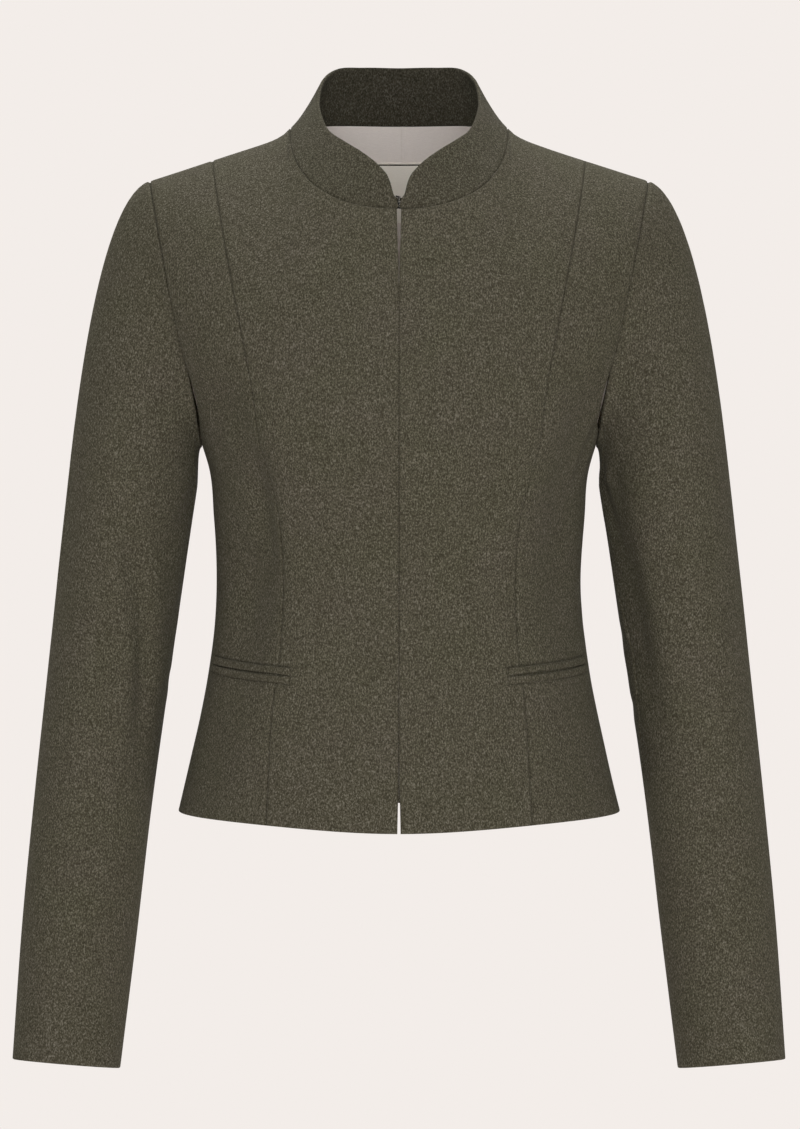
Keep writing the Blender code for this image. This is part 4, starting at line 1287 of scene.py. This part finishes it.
def tube(name, points, radius, material):
    """A round wire or thread through its points."""
    curve = bpy.data.curves.new(name, "CURVE")
    curve.dimensions = "3D"
    curve.bevel_depth = radius
    curve.bevel_resolution = BEVEL_STEPS
    curve.use_fill_caps = True
    spline = curve.splines.new("POLY")
    spline.points.add(len(points) - 1)
    for point, place in zip(spline.points, points):
        point.co = (*place, 1.0)
    curve.materials.append(material)
    wire = bpy.data.objects.new(name, curve)
    bpy.context.scene.collection.objects.link(wire)
    return wire


def arc(centre, start, end, radius):
    """Points on a round bend, in the two directions of its plane."""
    for step in range(BEND_STEPS + 1):
        turn = math.radians(start + (end - start) * step / BEND_STEPS)
        yield centre[0] + radius * math.cos(turn), centre[1] + radius * math.sin(turn)


def hook_and_eye():
    """A wire hook on the right front, its thread, and the wire eye on the left front that it holds."""
    face_angle = angle_at(np.array(HOOK_SEAT_X), np.array(HOOK_HEIGHT), True)
    wall_y = float(body_point(face_angle, np.array(HOOK_HEIGHT))[1]) + COLLAR_CLOTH
    near_y = wall_y + HOOK_CLEARANCE + WIRE_RADIUS
    middle_y = near_y + HOOK_BEND_RADIUS
    far_y = middle_y + HOOK_BEND_RADIUS
    hook = [(-HOOK_REACH, near_y, HOOK_HEIGHT)]
    for x, y in arc((HOOK_BEND_X, middle_y), -90.0, 90.0, HOOK_BEND_RADIUS):
        hook.append((x, y, HOOK_HEIGHT))
    hook.append((HOOK_TIP_X, far_y, HOOK_HEIGHT))
    place_piece(tube("hook_wire", hook, WIRE_RADIUS, WIRE), "hook")
    eye = [(HOOK_REACH, middle_y, HOOK_HEIGHT + EYE_RADIUS)]
    for x, z in arc((EYE_BAR_X + EYE_RADIUS, HOOK_HEIGHT), 90.0, 270.0, EYE_RADIUS):
        eye.append((x, middle_y, z))
    eye.append((HOOK_REACH, middle_y, HOOK_HEIGHT - EYE_RADIUS))
    place_piece(tube("eye_wire", eye, WIRE_RADIUS, WIRE), "eye")
    stitches = []
    for step in range(STITCHES + 1):
        share = step / STITCHES
        x = STITCH_X[step % 2] * (1.0 - STITCH_TAPER * share)
        y = near_y - WIRE_RADIUS + STITCH_LEAN * share + (step % 3) * THREAD_RADIUS
        stitches.append((x, y, HOOK_HEIGHT + STITCH_START + STITCH_RISE * share))
    place_piece(tube("hook_thread", stitches, THREAD_RADIUS, THREAD), "hook")


centre_front = centre_front_grid()
side_front = side_front_grid()
back = back_grid(spread(BACK_COLUMNS, True, True))
SIDES = (
    ("right", RIGHT, RIGHT_SLEEVE_SEAMS, RIGHT_SLEEVE_FOLDS, RIGHT_SLEEVE_CREASES,
     RIGHT_UPPER_CUT, RIGHT_UNDER_CUT),
    ("left", LEFT, LEFT_SLEEVE_SEAMS, LEFT_SLEEVE_FOLDS, LEFT_SLEEVE_CREASES,
     LEFT_UPPER_CUT, LEFT_UNDER_CUT),
)
for word, side, seams, folds, creases, upper_cut, under_cut in SIDES:
    body_panel(
        word + "_centre_front", centre_front, side, False, ("butted", "seam", "fold", "neck"),
        (FRONT_FACING, 0.0, HEM_FACING, TOP_FACING),
    )
    body_panel(
        word + "_side_front", side_front, side, False, ("seam", "armhole", "fold", "seam"),
        (0.0, ARMHOLE_FACING, HEM_FACING, TOP_FACING),
    )
    body_panel(
        word + "_back", back, side, True, ("seam", "seam", "fold", "neck"),
        (0.0, 0.0, HEM_FACING, TOP_FACING),
    )
    sleeve_panel(word + "_upper_sleeve", seams, folds, creases, True, side)
    sleeve_panel(word + "_under_sleeve", seams, folds, creases, False, side)
    pocket_jet(word + "_pocket_upper_jet", True, side)
    pocket_jet(word + "_pocket_lower_jet", False, side)
collar_band()
neck_lining()
neck_label()
hook_and_eye()


# Studio

FLOOR_HEIGHT = -1.42
FLOOR_RADIUS = 2.6
FLOOR_SIDES = 96
BACKDROP_RADIUS = 14.0
BACKGROUND = (0.896, 0.847, 0.815, 1.0)
ROOM_LIGHT = 0.22
CAMERA_PLACE = (0.00074, -3.2, -0.32597)
LENS = 137.88
SENSOR = 36.0
LIGHT_AIM = (0.0, 0.0, -0.3)
LIGHT_SIZE = 1.6
LIGHTS = table(
    "name place power",
    ("front", (0.0, -3.2, 0.15), 49.0),
    ("fill", (1.8, -2.6, -0.30), 18.0),
    ("left side", (-2.2, -0.8, 1.70), 20.0),
    ("right side", (2.2, -0.8, 1.70), 8.0),
    ("back", (0.0, 3.2, 0.40), 46.0),
    ("top", (0.0, 0.7, 2.3), 52.0),
)


def studio_floor():
    """A pale round floor below the jacket."""
    mesh = bpy.data.meshes.new("floor")
    turns = np.linspace(0.0, 2 * math.pi, FLOOR_SIDES, endpoint=False)
    ring = [(FLOOR_RADIUS * math.cos(t), FLOOR_RADIUS * math.sin(t), FLOOR_HEIGHT) for t in turns]
    mesh.from_pydata(ring, [], [list(range(len(ring)))])
    mesh.materials.append(floor_material())
    floor = bpy.data.objects.new("floor", mesh)
    bpy.context.scene.collection.objects.link(floor)


def backdrop():
    """A pale dome all round, shown to the camera only, so that it doesn't light the jacket."""
    mesh = bpy.data.meshes.new("backdrop")
    form = bmesh.new()
    bmesh.ops.create_uvsphere(form, u_segments=48, v_segments=24, radius=BACKDROP_RADIUS)
    form.to_mesh(mesh)
    form.free()
    material = bpy.data.materials.new("backdrop")
    material.use_nodes = True
    set_inputs(material.node_tree.nodes["Principled BSDF"], {
        "Base Color": (0.0, 0.0, 0.0, 1.0),
        "Specular IOR Level": 0.0,
        "Emission Color": BACKGROUND,
        "Emission Strength": 1.0,
    })
    mesh.materials.append(material)
    dome = bpy.data.objects.new("backdrop", mesh)
    dome.visible_diffuse = False
    dome.visible_glossy = False
    dome.visible_transmission = False
    dome.visible_shadow = False
    bpy.context.scene.collection.objects.link(dome)


def soft_light(name, place, power):
    """A large square soft light turned towards the jacket."""
    light = bpy.data.lights.new(name, "AREA")
    light.shape = "SQUARE"
    light.size = LIGHT_SIZE
    light.energy = power
    lamp = bpy.data.objects.new(name, light)
    lamp.location = place
    away = np.array(place) - np.array(LIGHT_AIM)
    flat = math.hypot(away[0], away[1])
    lamp.rotation_euler = (math.atan2(flat, away[2]), 0.0, math.atan2(away[1], away[0]) + math.pi / 2)
    bpy.context.scene.collection.objects.link(lamp)


def studio():
    """Floor, backdrop, room light, soft lights and the camera of the photo's view."""
    studio_floor()
    backdrop()
    world = bpy.data.worlds.new("studio")
    world.use_nodes = True
    set_inputs(world.node_tree.nodes["Background"], {"Color": BACKGROUND, "Strength": ROOM_LIGHT})
    bpy.context.scene.world = world
    for light in LIGHTS:
        soft_light(light.name, light.place, light.power)
    camera = bpy.data.cameras.new("camera")
    camera.lens = LENS
    camera.sensor_width = SENSOR
    eye = bpy.data.objects.new("camera", camera)
    eye.location = CAMERA_PLACE
    eye.rotation_euler = (math.pi / 2, 0.0, 0.0)
    bpy.context.scene.collection.objects.link(eye)
    bpy.context.scene.camera = eye
    bpy.context.scene.view_settings.view_transform = "Standard"


studio()
